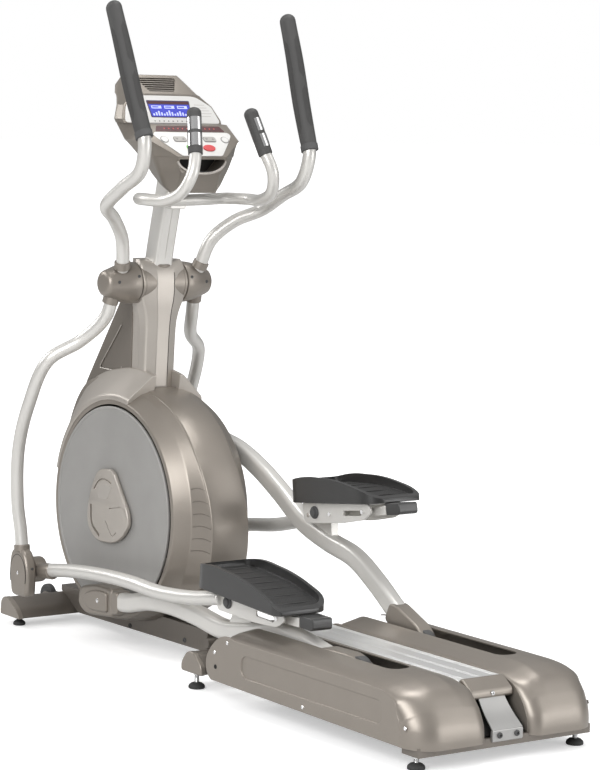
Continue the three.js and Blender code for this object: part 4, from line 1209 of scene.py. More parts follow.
# --------------------------------------------------------------------------------------------- drive
@dataclass
class CrankDisc:
    """The rotating disc that carries the crank pin, and its hub cover."""

    side: Side
    radius: float = 292.0
    inner: float = 122.0
    outer: float = 130.0

    def build(self) -> None:
        """Makes the disc, its bright rim and the hub cover's parts."""
        s, word = self.side.value, self.side.word
        turn = -BARS.tilt if self.side is Side.RIGHT else math.pi - BARS.tilt
        place = Place(CRANK.y, CRANK.z, turn)
        r, low, high = self.radius, self.inner, self.outer
        profile = [
            (15.3, low), (r - 1, low), (r, low + 1), (r, high - 2.5), (r - 0.8, high - 1), (r - 2.5, high),
            (r - 7, high), (r - 8.5, high - 0.6), (r - 10, high - 2), (r - 14, high - 1.6), (200, high - 1),
            (120, high - 0.6), (15.3, high - 0.4),
        ]
        disc = Piece.lathe(f"{word}_disc_plate", on_side(profile, s), 160, place=place)
        hole = on_side([(0, 100), (13.3, 100), (13.3, 140), (0, 140)], s)
        disc.cut(Piece.lathe("pin_tool", hole, 40, 0, BARS.radius, place))
        disc.done(DISC_GREY, "crank", f"{word}_disc", slot="disc", smooth=25)
        dress(f"{word}_crank_arm", STEEL, 1.0)
        shield = rounded([
            (-22, 118, 20), (54, 110, 26), (84, 60, 60), (106, -4, 40), (104, -60, 34), (56, -98, 36),
            (-32, -94, 40), (-80, -72, 40), (-116, -28, 36), (-106, 8, 60),
        ], 9)
        seat = high + 0.4
        cap = Piece.prism(f"{word}_hub_shield", shield, s * seat, s * (high + 15), place=CRANK)
        cap.soften(5.5, 3, 50)
        grooves = (
            (ribbon([(70, 50), (44, 76), (12, 85), (-22, 78)], 2.6), 10),
            (ribbon([(84, 4), (76, -50), (36, -80)], 4.5), 6),
            (ribbon([(-14, 5), (-45, 11), (-74, 17)], 1.4), 11),
            (ribbon([(4, -34), (-32, -71), (-52, -58)], 1.2), 12),
        )
        for outline, floor in grooves:
            cap.cut(Piece.prism("groove_tool", outline, s * (high + floor), s * (high + 30), place=CRANK))
        # Painted light: the hub cover takes the lighter copy of the moulding.
        cap.done(TAUPE_LIT, "crank", f"{word}_hub_cover", slot="cover", smooth=28)
        # Painted highlight: the raised inset takes the paler copy of the moulding.
        inset = rounded([(50, 54, 6), (19, 73, 10), (-25, 66, 6), (-3, 31, 6), (45, 25, 6)], 6)
        plate = Piece.prism(f"{word}_hub_inset", inset, s * (high + 14), s * (high + 16.0), place=CRANK)
        plate.soften(1.0).done(TAUPE_HIGHLIGHT, "crank")


@dataclass
class Drive:
    """The discs outside, and the pulley, belt and flywheel inside."""

    def build(self) -> None:
        """Makes the discs and dresses the inner drive."""
        for side in Side:
            CrankDisc(side).build()
        dress("crank_axle", STEEL, 1.0)
        dress("drive_pulley", BLACK, 0.8)
        dress("drive_belt", BLACK, 0.5)
        dress("flywheel", IRON, 1.2)


# ---------------------------------------------------------------------------------------------- mast
@dataclass
class Column:
    """The moulded column behind the mast, which widens into the pivot barrel."""

    heights: tuple = (
        (690, 51, 1517), (780, 51, 1514), (860, 51, 1511), (898, 51.5, 1509), (922, 53, 1507),
        (942, 57, 1505.5), (958, 62, 1504), (974, 68, 1502.5), (990, 72.5, 1502), (1005, 74, 1501.5),
        (1030, 74, 1501.5), (1046, 74, 1502.5), (1058, 73.5, 1505), (1067, 72.5, 1509), (1074, 71, 1515),
        (1079, 68, 1522),
    )
    facet: float = 0.38
    seam_low: float = 728.0
    seam_high: float = 1058.0

    def _ring(self, z: float, half: float, rear: float) -> list[Spot]:
        """The column's outline at one height."""
        corners = [
            (47, 1604), (half - 4, 1562, 3), (half, 1556, 3), (half, rear + 15, 4), (half - 4, rear + 10, 5),
            (half * self.facet, rear, 3), (-half * self.facet, rear, 3), (4 - half, rear + 10, 5),
            (-half, rear + 15, 4), (-half, 1556, 3), (4 - half, 1562, 3), (-47, 1604),
        ]
        lift = max(0.0, z - 1052) * 0.5
        return [(x, y, z + lift * min(1.0, abs(x) / 46) ** 2) for x, y in rounded(corners, 5, False)]

    def build(self) -> None:
        """Makes the column with painted light (a lighter copy of the moulding), its seams and the collar around the
        mast.
        """
        column = Piece.loft("column_moulding", [self._ring(*h) for h in self.heights])
        column.done(TAUPE_LIT, "base", "rear_mast_cover", slot="cover", smooth=24)
        # The left seam is a painted highlight line in the paler copy of the moulding; the right one is a dark seam
        # line.
        for k, (s, finish) in enumerate(((-1, TAUPE_HIGHLIGHT), (1, SHADE_AND_SEAMS))):
            line = [(s * (half * self.facet + 0.6), rear + 0.1, max(z, self.seam_low))
                    for z, half, rear in self.heights if z <= self.seam_high]
            Piece.sweep(f"column_seam_{k}", line, ring(0.9, 0.9, 8), 60).done(finish, "base")
        lip = [(33 * math.sin(a), 1546 - 34 * math.cos(a), 1083 - 8 * math.cos(a))
               for a in np.linspace(-2.2, 2.2, 25)]
        Piece.sweep("column_lip", lip, ring(4.5, 4.5, 16), 80, domes=(4, 4)).done(TAUPE, "base")


@dataclass
class Mast:
    """The mast tube, the pivot barrel and the covers about it."""

    line: tuple = (
        (0, 1558.5, 760.3), (0, 1558.5, 880), (0, 1557.5, 990), (0, 1540, 1100), (0, 1505, 1250),
        (0, 1470, 1400), (0, 1464, 1428),
    )

    def build(self) -> None:
        """Makes the mast and its covers."""
        tube = Piece.sweep("mast_tube", self.line, rectangle(30, 30, 10, 7), 70)
        tube.done(SILVER, "base", "mast", slot="silver", smooth=40)
        weld = Piece.sweep("mast_seam", [(x, y - 30.2, z - 4) for x, y, z in self.line[3:6]],
                           ring(0.7, 0.7, 8), 40)
        weld.done(SILVER, "base")
        half = [(0, 74), (30, 74), (54, 74), (57, 73.4), (58.4, 72), (58.4, 66), (57, 65.2), (57, 64.4),
                (58.2, 63.6), (57, 40)]
        barrel = Piece.lathe("barrel_moulding", mirrored(half), 96, PIVOT.y, PIVOT.z)
        barrel.done(TAUPE, "base", "pivot_barrel", slot="cover", smooth=25)
        Column().build()
        self._front_cover()

    def _front_cover(self) -> None:
        """Makes the wedge-shaped cover in front of the mast."""
        face = [(1596, 1008), (1640, 1000, 30), (1670, 952, 40), (1846, 700, 40), (1846, 640), (1596, 640)]
        cover = Piece.prism("front_cover", rounded(face, 9), -49, 49)
        panel = rounded([(1648, 905, 12), (1664, 884, 12), (1768, 764, 14), (1648, 764, 14)], 7)
        cover.cut(*[Piece.prism("panel_tool", panel, s * 46.5, s * 60) for s in (-1, 1)])
        cover.soften(8, 5, 50).done(TAUPE_SHADE, "base", "front_mast_cover", slot="cover")
        # Painted highlight: the beads take the paler copy of the moulding.
        for s in (-1, 1):
            bead = [(s * 48.6, y, z) for y, z in panel[6:]]
            line = Piece.sweep(f"front_cover_bead_{s + 1}", bead, ring(1.5, 1.5, 8), 120, domes=(1, 1))
            line.done(TAUPE_HIGHLIGHT, "base")


@dataclass
class Handrail:
    """The bent rail in front of the user, and the pulse grips on its ends."""

    radius: float = 16.5
    half: tuple = (
        (78, 1452, 1265), (146, 1424, 1270), (172, 1356, 1271), (158, 1278, 1273), (148, 1212, 1298),
        (132, 1185, 1352), (114, 1201, 1409), (111.4, 1206.3, 1422),
    )

    def build(self) -> None:
        """Makes the rail, the bracket on the mast and both grips."""
        left = [(-x, y, z) for x, y, z in reversed(self.half)]
        rail = Piece.sweep("handrail_tube", [*left, (0, 1453.2, 1263), *self.half],
                           ring(self.radius, self.radius, 36), 170)
        rail.done(SILVER, "base", "handrail", slot="silver", smooth=60)
        clamp = Piece.prism("handrail_clamp", rectangle(26, 24, 7), 1448, 1482, "y", Place(0, 1263))
        clamp.soften(3).done(SILVER, "base")
        for side in Side:
            self._grip(side)

    def _grip(self, side: Side) -> None:
        """Makes one pulse grip: a black handle with two bright contact plates."""
        s, word = side.value, side.word
        start, end = np.array([s * 115.6, 1198.6, 1402.0]), np.array([s * 94, 1243, 1510.0])
        line = [start + (end - start) * t for t in (0, 0.3, 0.6, 1)]
        grip = Piece.sweep(f"{word}_pulse_handle", line, ring(20, 20, 40), 40, domes=(4, 16))
        grip.done(RUBBER, "base", f"{word}_pulse_grip", slot="grip", smooth=50)
        for k, (low, high) in enumerate(((0.16, 0.47), (0.55, 0.86))):
            part = [start + (end - start) * t for t in (low, (low + high) / 2, high)]
            facing = math.radians(-53 if s > 0 else 233)
            arc = [(20.6 * math.cos(a + facing), 20.6 * math.sin(a + facing))
                   for a in np.linspace(-1.15, 1.15, 24)]
            back = [(a * 0.9, b * 0.9) for a, b in reversed(arc)]
            plate = Piece.sweep(f"{word}_pulse_plate_{k}", part, [*arc, *back], 16)
            plate.done(CHROME, "base", smooth=40)


# ------------------------------------------------------------------------------------------- console
@dataclass(frozen=True)
class Slope:
    """A plane across the machine that passes through (y, z) and climbs by rise over run."""

    y: float
    z: float
    run: float
    rise: float

    def at(self, x: float, up: float, off: float) -> Spot:
        """A point on the slope.

        Args:
            x: Distance to the right of the middle.
            up: Distance up the slope from its lower edge.
            off: Height off the slope.

        Returns:
            The point.
        """
        size = math.hypot(self.run, self.rise)
        a, b = self.run / size, self.rise / size
        return x, self.y + up * a - off * b, self.z + up * b + off * a

    def raised(self, name: str, outline: Sequence[Point], low: float, high: float) -> Piece:
        """An outline of (x, up) points, carried between two heights off the slope."""
        return Piece.loft(name, [[self.at(x, up, off) for x, up in outline] for off in (low, high)])


KEY_SLOPE = Slope(1333, 1389, 83, 83)
DISPLAY_SLOPE = Slope(1482.8, 1472, 46.2, 80)
HOOD_SLOPE = Slope(1540, 1556, 52, 52)


@dataclass
class Console:
    """The console: a lofted housing with a tray, a keyboard slope, a display slope and a louvred hood."""

    levels: tuple = (
        (1288, 1366, 60, 1376, 78, 1392, 66), (1296, 1362, 64, 1378, 84, 1410, 72),
        (1310, 1356, 64, 1378, 97, 1432, 80), (1338, 1346, 64, 1378, 112, 1462, 90),
        (1345, 1341, 66, 1378, 116, 1466, 92), (1362, 1339, 78, 1378, 124, 1478, 100),
        (1386, 1334, 80, 1378, 134, 1493, 114), (1389, 1333, 81, 1376, 136, 1495, 116),
        (1410, 1353.5, 115, 1380, 143, 1505, 133), (1431, 1374, 148, 1386, 150, 1514, 152),
        (1472, 1414, 135, 1430, 140, 1540, 163), (1475, 1420, 136, 1436, 142, 1541, 163),
        (1475.2, 1484, 163, 1492, 163.5, 1541, 163), (1486, 1491, 164, 1500, 164.5, 1546, 165),
        (1524, 1513, 147, 1524, 147.5, 1557, 149), (1544, 1524.5, 124, 1540, 127, 1588, 134),
        (1552, 1529, 116, 1548, 120, 1600, 130), (1556, 1540, 114, 1560, 118, 1612, 126),
        (1578, 1562, 100, 1580, 103, 1634, 112), (1600, 1584, 85, 1596, 87, 1632, 92),
        (1608, 1592, 79, 1600, 80, 1624, 81),
    )

    @staticmethod
    def _label(name: str, slope: Slope, outline: Sequence[Point], low: float, high: float, finish: Finish,
               soft: float = 0.0) -> None:
        """A thin raised shape on one of the slopes.

        Args:
            name: The object's name.
            slope: The slope.
            outline: Points as (x, up) on the slope.
            low: Its underside's height off the slope.
            high: Its top's height off the slope.
            finish: What it is painted with.
            soft: Rounding of its edges.
        """
        piece = slope.raised(name, outline, low, high)
        if soft > 0:
            piece.soften(soft, 3, 50)
        piece.done(finish, "base", smooth=35)

    def build(self) -> None:
        """Makes the housing, the overlays, the display and the keys."""
        rings = []
        for z, rear, back, flank, wide, front, fore in self.levels:
            half = [(back, rear, 3), (wide, flank, 16), (fore, front, 26)]
            rings.append([(x, y, z) for x, y in both(half, 6)])
        body = Piece.loft("console_body", rings)
        tray = both([(40, 1346, 20), (72, 1366, 16), (76, 1382, 5)], 8)
        body.cut(Piece.prism("tray_tool", tray, 1310, 1384, "y"))
        hood = rounded([(-42, 10, 5), (42, 10, 5), (66, 62, 6), (-66, 62, 6)], 6)
        body.cut(HOOD_SLOPE.raised("hood_tool", hood, -7, 12))
        # Painted shade: the housing takes a darker copy of the taupe moulding.
        body.done(TAUPE_CONSOLE_SHADE, "base", "console_housing", slot="cover", smooth=20)
        self._tray()
        self._louvres()
        self._overlay()
        self._keys()
        self._display()

    def _tray(self) -> None:
        """Makes the tray's dark back, which is painted shade, and its pale front lip, which is a painted highlight."""
        # Painted shade: a near-black sheet at the back of the tray.
        shade_sheet = rounded([(-44, 1348, 8), (44, 1348, 8), (74, 1381.5, 8), (-74, 1381.5, 8)], 8)
        Piece.prism("tray_lining", shade_sheet, 1380, 1384, "y").done(SHADE_AND_SEAMS, "base")
        floor = [(-40, 1346), (40, 1346), (40, 1384), (-40, 1384)]
        Piece.prism("tray_floor", floor, 1346.5, 1348.5, "z").done(BLACK, "base")
        # Painted highlight: the front lip takes the paler copy of the moulding.
        lip = [(-79, 1340, 1374), (-70, 1338, 1362), (-44, 1335, 1348), (0, 1334, 1343), (44, 1335, 1348),
               (70, 1338, 1362), (79, 1340, 1374)]
        Piece.sweep("tray_lip", lip, rectangle(5, 3.2, 2.4), 50, domes=(3, 3)).done(TAUPE_HIGHLIGHT, "base")

    def _louvres(self) -> None:
        """Makes the slats of the hood's grille, over a near-black sheet of painted shade."""
        # Painted shade: a near-black sheet under the slats.
        floor = rounded([(-41, 11, 5), (41, 11, 5), (65, 61, 6), (-65, 61, 6)], 6)
        self._label("hood_floor", HOOD_SLOPE, floor, -7.4, -6.0, SHADE_AND_SEAMS)
        for k in range(6):
            up = 16 + k * 8.2
            half = 41 + (up - 10) * 24 / 52
            slat = moved(rectangle(half, 1.5, 1.4), 0, up)
            self._label(f"console_louvre_{k}", HOOD_SLOPE, slat, -5.6, -1.4, TAUPE_DARK)

    def _overlay(self) -> None:
        """Makes the pale overlays over both slopes, and the dark strip between them."""
        wall = rounded([
            (-154, 4, 5), (154, 4, 5), (157, 14, 6), (142, 58, 8), (100, 87, 12), (77, 90.5, 10),
            (-77, 90.5, 10), (-100, 87, 12), (-142, 58, 8), (-157, 14, 6),
        ], 6)
        self._label("overlay_display", DISPLAY_SLOPE, wall, 0.1, 2.4, OVERLAY, 0.8)
        face = rounded([
            (-66, 2, 8), (66, 2, 8), (112, 56, 10), (129, 80, 8), (121, 90, 5), (-121, 90, 5), (-129, 80, 8),
            (-112, 56, 10),
        ], 6)
        piece = KEY_SLOPE.raised("overlay_keys", face, 0.1, 2.2)
        piece.soften(0.8, 3, 50).done(OVERLAY, "base", "console_face", slot="console", smooth=35)
        strip = rounded([(-115, 93, 3), (115, 93, 3), (104, 114, 3), (-104, 114, 3)], 5)
        self._label("overlay_strip", KEY_SLOPE, strip, 0.1, 1.8, STRIP_RED, 0.5)

    def _keys(self) -> None:
        """Makes the stop, start, arrow and round keys; their faces stay plain."""
        stop = moved(ring(20, 11.5, 40), 33, 30)
        self._label("stop_key", KEY_SLOPE, stop, 2.0, 5.4, STOP_RED, 1.4)
        go = moved(rectangle(16, 10.5, 8), -24, 30)
        self._label("start_key", KEY_SLOPE, go, 2.0, 5.0, GO_GREEN, 1.2)
        for s, word in ((-1, "left"), (1, "right")):
            rim = moved(ring(13, 12, 32), s * 100, 62)
            self._label(f"round_rim_{word}", KEY_SLOPE, rim, 2.0, 3.0, PRINT, 0.3)
            top = moved(ring(10.8, 9.8, 32), s * 100, 62)
            self._label(f"round_key_{word}", KEY_SLOPE, top, 2.8, 4.2, OVERLAY, 0.8)
            pad = moved(rectangle(21, 10, 8), s * 49, 63)
            self._label(f"arrow_rim_{word}", KEY_SLOPE, pad, 2.0, 3.0, PRINT, 0.3)
            pad = moved(rectangle(19, 8, 6.5), s * 49, 63)
            self._label(f"arrow_key_{word}", KEY_SLOPE, pad, 2.8, 4.2, KEY_PLATE, 0.8)
            for k, x in enumerate((-10, 10)):
                way = 1 if k else -1
                arrow = moved([(-4.5, -3 * way), (4.5, -3 * way), (0, 4 * way)], s * 49 + x, 63)
                self._label(f"arrow_mark_{word}_{k}", KEY_SLOPE, arrow, 4.0, 4.5, PRINT)
        for k in range(12):
            dot = moved(ring(1.9, 1.9, 16), -82.5 + k * 15, 103.5)
            self._label(f"level_lamp_{k}", KEY_SLOPE, dot, 1.6, 2.4, LED_RED)

    @staticmethod
    def _box(x0: float, x1: float, low: float, high: float, radius: float) -> Flat:
        """A rounded rectangle between two widths and two heights."""
        return rounded([(x0, low, radius), (x1, low, radius), (x1, high, radius), (x0, high, radius)], 4)

    def _display(self) -> None:
        """Makes the blue display, its frame, its generic readings and the printed lines beside it."""
        frame_line = rounded([(-68, 21, 4), (68, 21, 4), (72, 75, 4), (-72, 75, 4)], 4)
        self._label("display_frame", DISPLAY_SLOPE, frame_line, 2.2, 2.9, LCD_BAND, 0.3)
        glass = rounded([(-65, 24, 2), (65, 24, 2), (68, 62, 2), (-68, 62, 2)], 4)
        self._label("display_glass", DISPLAY_SLOPE, glass, 2.7, 3.2, LCD_BLUE)
        self._label("display_strip", DISPLAY_SLOPE, self._box(-68, 68, 64.5, 71.5, 1.5), 2.7, 3.2, STRIP_RED)
        for k, tall in enumerate((6, 10, 14, 10, 6, 11, 16, 11, 6, 10, 14, 10, 6, 9)):
            x = -60 + k * 8.8
            bar = self._box(x, x + 5.4, 27, 27 + tall, 0.2)
            self._label(f"display_bar_{k}", DISPLAY_SLOPE, bar, 3.1, 3.4, LCD_PIXEL)
        for k in range(3):
            x = -60 + k * 43
            field, text = self._box(x, x + 33, 49, 58, 0.4), self._box(x + 3, x + 23, 52, 55.5, 0.2)
            self._label(f"display_field_{k}", DISPLAY_SLOPE, field, 3.1, 3.4, LCD_PIXEL)
            self._label(f"display_text_{k}", DISPLAY_SLOPE, text, 3.3, 3.6, LCD_BLUE)
        for k in range(9):
            dot = moved(ring(2.2, 2.2, 16), -60 + k * 15, 10)
            self._label(f"display_dot_{k}", DISPLAY_SLOPE, dot, 2.2, 2.7, PRINT)
        for s, word in ((-1, "left"), (1, "right")):
            for k in range(5):
                low, high = sorted((s * 86, s * (138 - abs(k - 1) * 6)))
                line = self._box(low, high, 26 + k * 9, 27.2 + k * 9, 0.3)
                self._label(f"print_{word}_{k}", DISPLAY_SLOPE, line, 2.2, 2.6, KEY_PLATE)


# ---------------------------------------------------------------------------------------- swing arms
@dataclass
class SwingArm:
    """One swing arm: the handle, its grip, the hub on the pivot, the lower tube and the joint casing."""

    side: Side
    place: Place
    tube: float = 18.5
    upper: tuple = (
        (122, -12, 20), (128, -30, 46), (146, -56, 124), (196, -94, 182), (252, -143, 218), (258, -232, 268),
        (257, -322, 316), (260, -347, 392), (261.5, -336, 430),
    )
    hold: tuple = ((261, -346.3, 406), (263, -293, 526), (265, -245, 649), (265.5, -201, 752))
    lower: tuple = (
        (138, 3, -24), (148, 24, -94), (190, 88, -164), (262, 148, -222), (287, 214, -352), (282, 280, -488),
        (274, 298, -643), (268, 291, -720), (267, 286, -771),
    )

    @property
    def body(self) -> str:
        """The CAD body of this arm."""
        return f"{self.side.word}_swing"

    def _sided(self, line: Sequence[Point]) -> list[Spot]:
        """A line drawn for the right side, on this side."""
        return [(self.side.value * x, y, z) for x, y, z in line]

    def build(self) -> None:
        """Makes the arm's pieces."""
        s, word = self.side.value, self.side.word
        tube = ring(self.tube, self.tube, 36)
        upper = Piece.sweep(f"{word}_handle_tube", self._sided(self.upper), tube, 120, self.place)
        upper.done(SILVER, self.body, f"{word}_upper_handle", slot="silver", smooth=60)
        lower = Piece.sweep(f"{word}_lower_tube", self._sided(self.lower), tube, 130, self.place)
        lower.done(SILVER, self.body, f"{word}_lower_arm", slot="silver", smooth=60)
        self._hub(s, word)
        self._grip(word)
        self._casing(s, word)

    def _hub(self, s: int, word: str) -> None:
        """Makes the tapering hub, the sockets of both tubes and the screws."""
        profile = [
            (0, 175), (22, 174.8), (30, 173.6), (34.5, 170), (38, 163), (42.5, 150), (50, 130), (54.5, 114),
            (57.3, 98), (59, 80), (58.2, 77.4), (55, 75.6), (0, 75.2),
        ]
        hub = Piece.lathe(f"{word}_hub_moulding", on_side(profile, s), 96, place=self.place)
        hub.done(TAUPE, self.body, f"{word}_pivot_hub", slot="cover", smooth=40)
        for k, (line, at) in enumerate(((self.upper, 1), (self.lower, 0))):
            a, b = (np.array([s * p[0], p[1], p[2]], float) for p in (line[at], line[at + 1]))
            way = (b - a) / np.linalg.norm(b - a)
            reach = (12, 30)[k]
            socket = [a + way * (reach - 16), a + way * reach * 0.7, a + way * reach, a + way * (reach + 4)]
            sleeve = Piece.sweep(f"{word}_hub_socket_{k}", socket, ring(22.5, 22.5, 40), 12, self.place,
                                 (0, 2.5))
            sleeve.done(TAUPE, self.body, smooth=50)
        for k, (x, up) in enumerate(((88, 0.35), (146, 0.1))):
            r = 58.4 if k == 0 else 44.2
            at = (s * x, -r * math.cos(up), r * math.sin(up))
            button(f"{word}_hub_screw_{k}", at, "y", 4.6, -1.6, BLACK, self.body, self.place)

    @staticmethod
    def _swell(t: float, grow: float = 0.0) -> tuple[float, float]:
        """The grip's half width and half height at a share of its length, grown all round."""
        wide = 21 + grow + 2.0 * math.sin(math.pi * min(1, t * 1.1))
        return wide, 24.5 + grow + 2.5 * math.sin(math.pi * t)

    def _grip(self, word: str) -> None:
        """Makes the grip with its collar and long oval panels."""
        line = self._sided(self.hold)
        grip = Piece.sweep(f"{word}_grip_sleeve", line, lambda t: ring(*self._swell(t), 40), 70, self.place,
                           (3, 20))
        grip.done(RUBBER, self.body, f"{word}_grip", slot="grip", smooth=50)
        base, after = np.array(line[0]), np.array(line[1])
        way = (after - base) / np.linalg.norm(after - base)
        collar = [base - way * 2, base + way * 4, base + way * 10, base + way * 14]
        band = Piece.sweep(f"{word}_grip_collar", collar, ring(23.5, 26.5, 40), 8, self.place, (2, 2))
        band.done(BLACK, self.body)
        spine = centripetal(line, 100)
        panels = ((12, 88, 0.0), (12, 88, math.pi), (16, 50, -math.pi / 2), (54, 88, -math.pi / 2))
        for k, (low, high, turn) in enumerate(panels):
            part = spine[low:high:4]
            rows = []
            for j, p in enumerate(part):
                t = j / (len(part) - 1)
                wide = 0.42 * math.sqrt(max(0.0, 1 - (2 * t - 1) ** 8)) + 0.002
                ra, rb = self._swell((low + (high - low) * t) / 100, 0.4)
                ahead = spine[min(99, low + 4 * j + 1)] - spine[max(0, low + 4 * j - 1)]
                ahead /= np.linalg.norm(ahead)
                up = np.cross(ALONG_X, ahead) * -1
                angles = [turn + a for a in np.linspace(-wide, wide, 9)]
                rows.append([tuple(p + ALONG_X * ra * math.cos(a) + up * rb * math.sin(a)) for a in angles])
            panel = Piece.grid(f"{word}_grip_panel_{k}", rows, place=self.place)
            panel.shell(0.8).done(GRIP_PANEL, self.body, smooth=50)

    def _casing(self, s: int, word: str) -> None:
        """Makes the joint casing, its collar and the screw."""
        y, z = BARS.eye_y, BARS.eye_z
        face = rounded([
            (y - 44, z - 74, 18), (y + 42, z - 74, 18), (y + 54, z + 8, 50), (y + 38, z + 67, 34),
            (y - 26, z + 67, 56), (y - 52, z + 8, 60),
        ], 9)
        block = Piece.prism(f"{word}_casing_block", face, s * 248, s * 284, place=self.place)
        block.soften(12, 7, 40).done(TAUPE, self.body, f"{word}_joint_casing", slot="cover", smooth=35)
        seam = [(s * 283.7, y + 43 * math.cos(a), z - 12 + 60 * math.sin(a))
                for a in np.linspace(-0.35, math.pi + 0.35, 30)]
        Piece.sweep(f"{word}_casing_seam", seam, ring(0.9, 0.9, 8), 60, self.place).done(SHADE_AND_SEAMS, self.body)
        top = [np.array([s * 267, 286, -771.0]) + np.array([0, 0.06, 1.0]) * d for d in (-8, -3, 3, 8)]
        collar = Piece.sweep(f"{word}_casing_collar", top, ring(23, 23, 40), 14, self.place, (0, 3))
        collar.done(TAUPE, self.body, smooth=50)
        button(f"{word}_casing_screw", (s * 284, y, z - 6), "x", 5, s * 1.6, CHROME, self.body, self.place)
        button(f"{word}_casing_side_screw", (s * 265, y - 50, z + 10), "y", 4, -2.5, BLACK, self.body,
               self.place)


# ----------------------------------------------------------------------------------- links and pedals
@dataclass
class LinkRod:
    """One link rod with its pedal bracket, from the pedal pivot."""

    side: Side
    place: Place
    x: float = 225.0
    tube: float = 19.5
    length: float = BARS.link
    inner: float = 121.0
    line: tuple = (
        (0.037, 8), (0.112, 0), (0.193, -6), (0.335, -6), (0.488, 9), (0.65, 15), (0.803, 12), (0.915, 4),
        (0.957, 0),
    )

    @staticmethod
    def under_pad(along: float, drop: float) -> float:
        """Height of the footpad's underside at a place along the link, less a drop."""
        return PAD_UP + (along - PAD_AHEAD) * math.tan(PAD_TILT) - drop

    @staticmethod
    def _pin(radius: float, start: float, end: float) -> Flat:
        """The lathe profile of a plain pin."""
        return [(0, start), (radius, start), (radius, end), (0, end)]

    def build(self) -> None:
        """Makes the rod, the bracket with its bolts and its adjuster, and the eye."""
        s, word, body, place = self.side.value, self.side.word, f"{self.side.word}_link", self.place
        line = [(s * self.x, t * self.length, up) for t, up in self.line]
        rod = Piece.sweep(f"{word}_link_tube", line, ring(self.tube, self.tube, 36), 110, place, (6, 6))
        rod.done(SILVER, body, f"{word}_link_rod", slot="silver", smooth=60)
        under = self.under_pad
        plate = rounded([
            (52, under(52, 1), 8), (52, -24, 14), (-120, -42, 14), (-215, -44, 16), (-250, -26, 14),
            (-240, under(-240, 1), 8),
        ], 7)
        for k, x in enumerate((self.inner, self.x)):
            piece = Piece.prism(f"{word}_bracket_{k}", plate, s * (x - 3), s * (x + 3), place=place)
            window = rounded([(-124, -9, 7), (-124, -23, 7), (-204, -32, 7), (-204, -18, 7)], 6)
            piece.cut(Piece.prism("window_tool", window, s * (x - 20), s * (x + 20), place=place))
            piece.soften(1.2, 3).done(SILVER, body)
        deck = [(50, under(50, 0.4)), (50, under(50, 8)), (-200, under(-200, 8)), (-200, under(-200, 0.4))]
        piece = Piece.prism(f"{word}_bracket_deck", deck, s * self.inner, s * self.x, place=place)
        piece.soften(1).done(SILVER, body)
        head = [(0, 0), (17, 0), (17, 3), (15, 5), (12, 5.5), (11, 9), (7, 10), (0, 10)]
        low, high = self.inner - 3, self.x + 3
        for name, profile, finish, y, z in (
            ("pedal_bolt", self._pin(8, self.inner - 9, self.x + 10), STEEL, 0, 0),
            ("pedal_bolt_head_0", [(r, low - h) for r, h in head], BLACK, 0, 0),
            ("pedal_bolt_head_1", [(r, high + h) for r, h in head], BLACK, 0, 0),
            ("adjust_bar", self._pin(5.5, 112, 230), CHROME, -214, -22),
            ("plate_screw", self._pin(6, 121, 115.5), CHROME, 30, -4),
            ("slot_stud", self._pin(5, 121, 114.5), CHROME, -66, -12),
        ):
            turned = Piece.lathe(f"{word}_{name}", on_side(profile, s), 40, y, z, place)
            turned.done(finish, body, smooth=35)
        rail = rounded([(-190, -14, 3), (-190, -32, 3), (-282, -39, 3), (-282, -14, 3)], 3)
        piece = Piece.prism(f"{word}_adjust_rail", rail, s * 140, s * 206, place=place)
        piece.soften(2, 3).done(SILVER, body)
        knob = rounded([(-276, -8, 4), (-276, -40, 8), (-338, -45, 12), (-338, -14, 6)], 6)
        piece = Piece.prism(f"{word}_adjust_block", knob, s * 142, s * 204, place=place)
        piece.soften(3, 4).done(PEDAL, body)
        self._eye(s, word, body)

    def _eye(self, s: int, word: str, body: str) -> None:
        """Makes the eye at the swing arm, with its sleeve and its screw."""
        n, x = self.length, self.x
        eye = [(0, x - 22), (31, x - 22), (35.5, x - 20), (37, x - 15), (37, x + 17), (35, x + 19),
               (0, x + 19)]
        Piece.lathe(f"{word}_link_eye", on_side(eye, s), 56, n, 0, self.place).done(TAUPE, body, smooth=35)
        line = [(s * x, n - 96, 1), (s * x, n - 80, 1), (s * x, n - 50, 0), (s * x, n - 30, 0)]
        sleeve = Piece.sweep(f"{word}_link_sleeve", line, ring(22.6, 22.6, 40), 16, self.place, (3, 0))
        sleeve.done(TAUPE, body)
        button(f"{word}_link_screw", (s * (x - 23.5), n, 2), "x", 9, s * -3, CHROME, body, self.place)


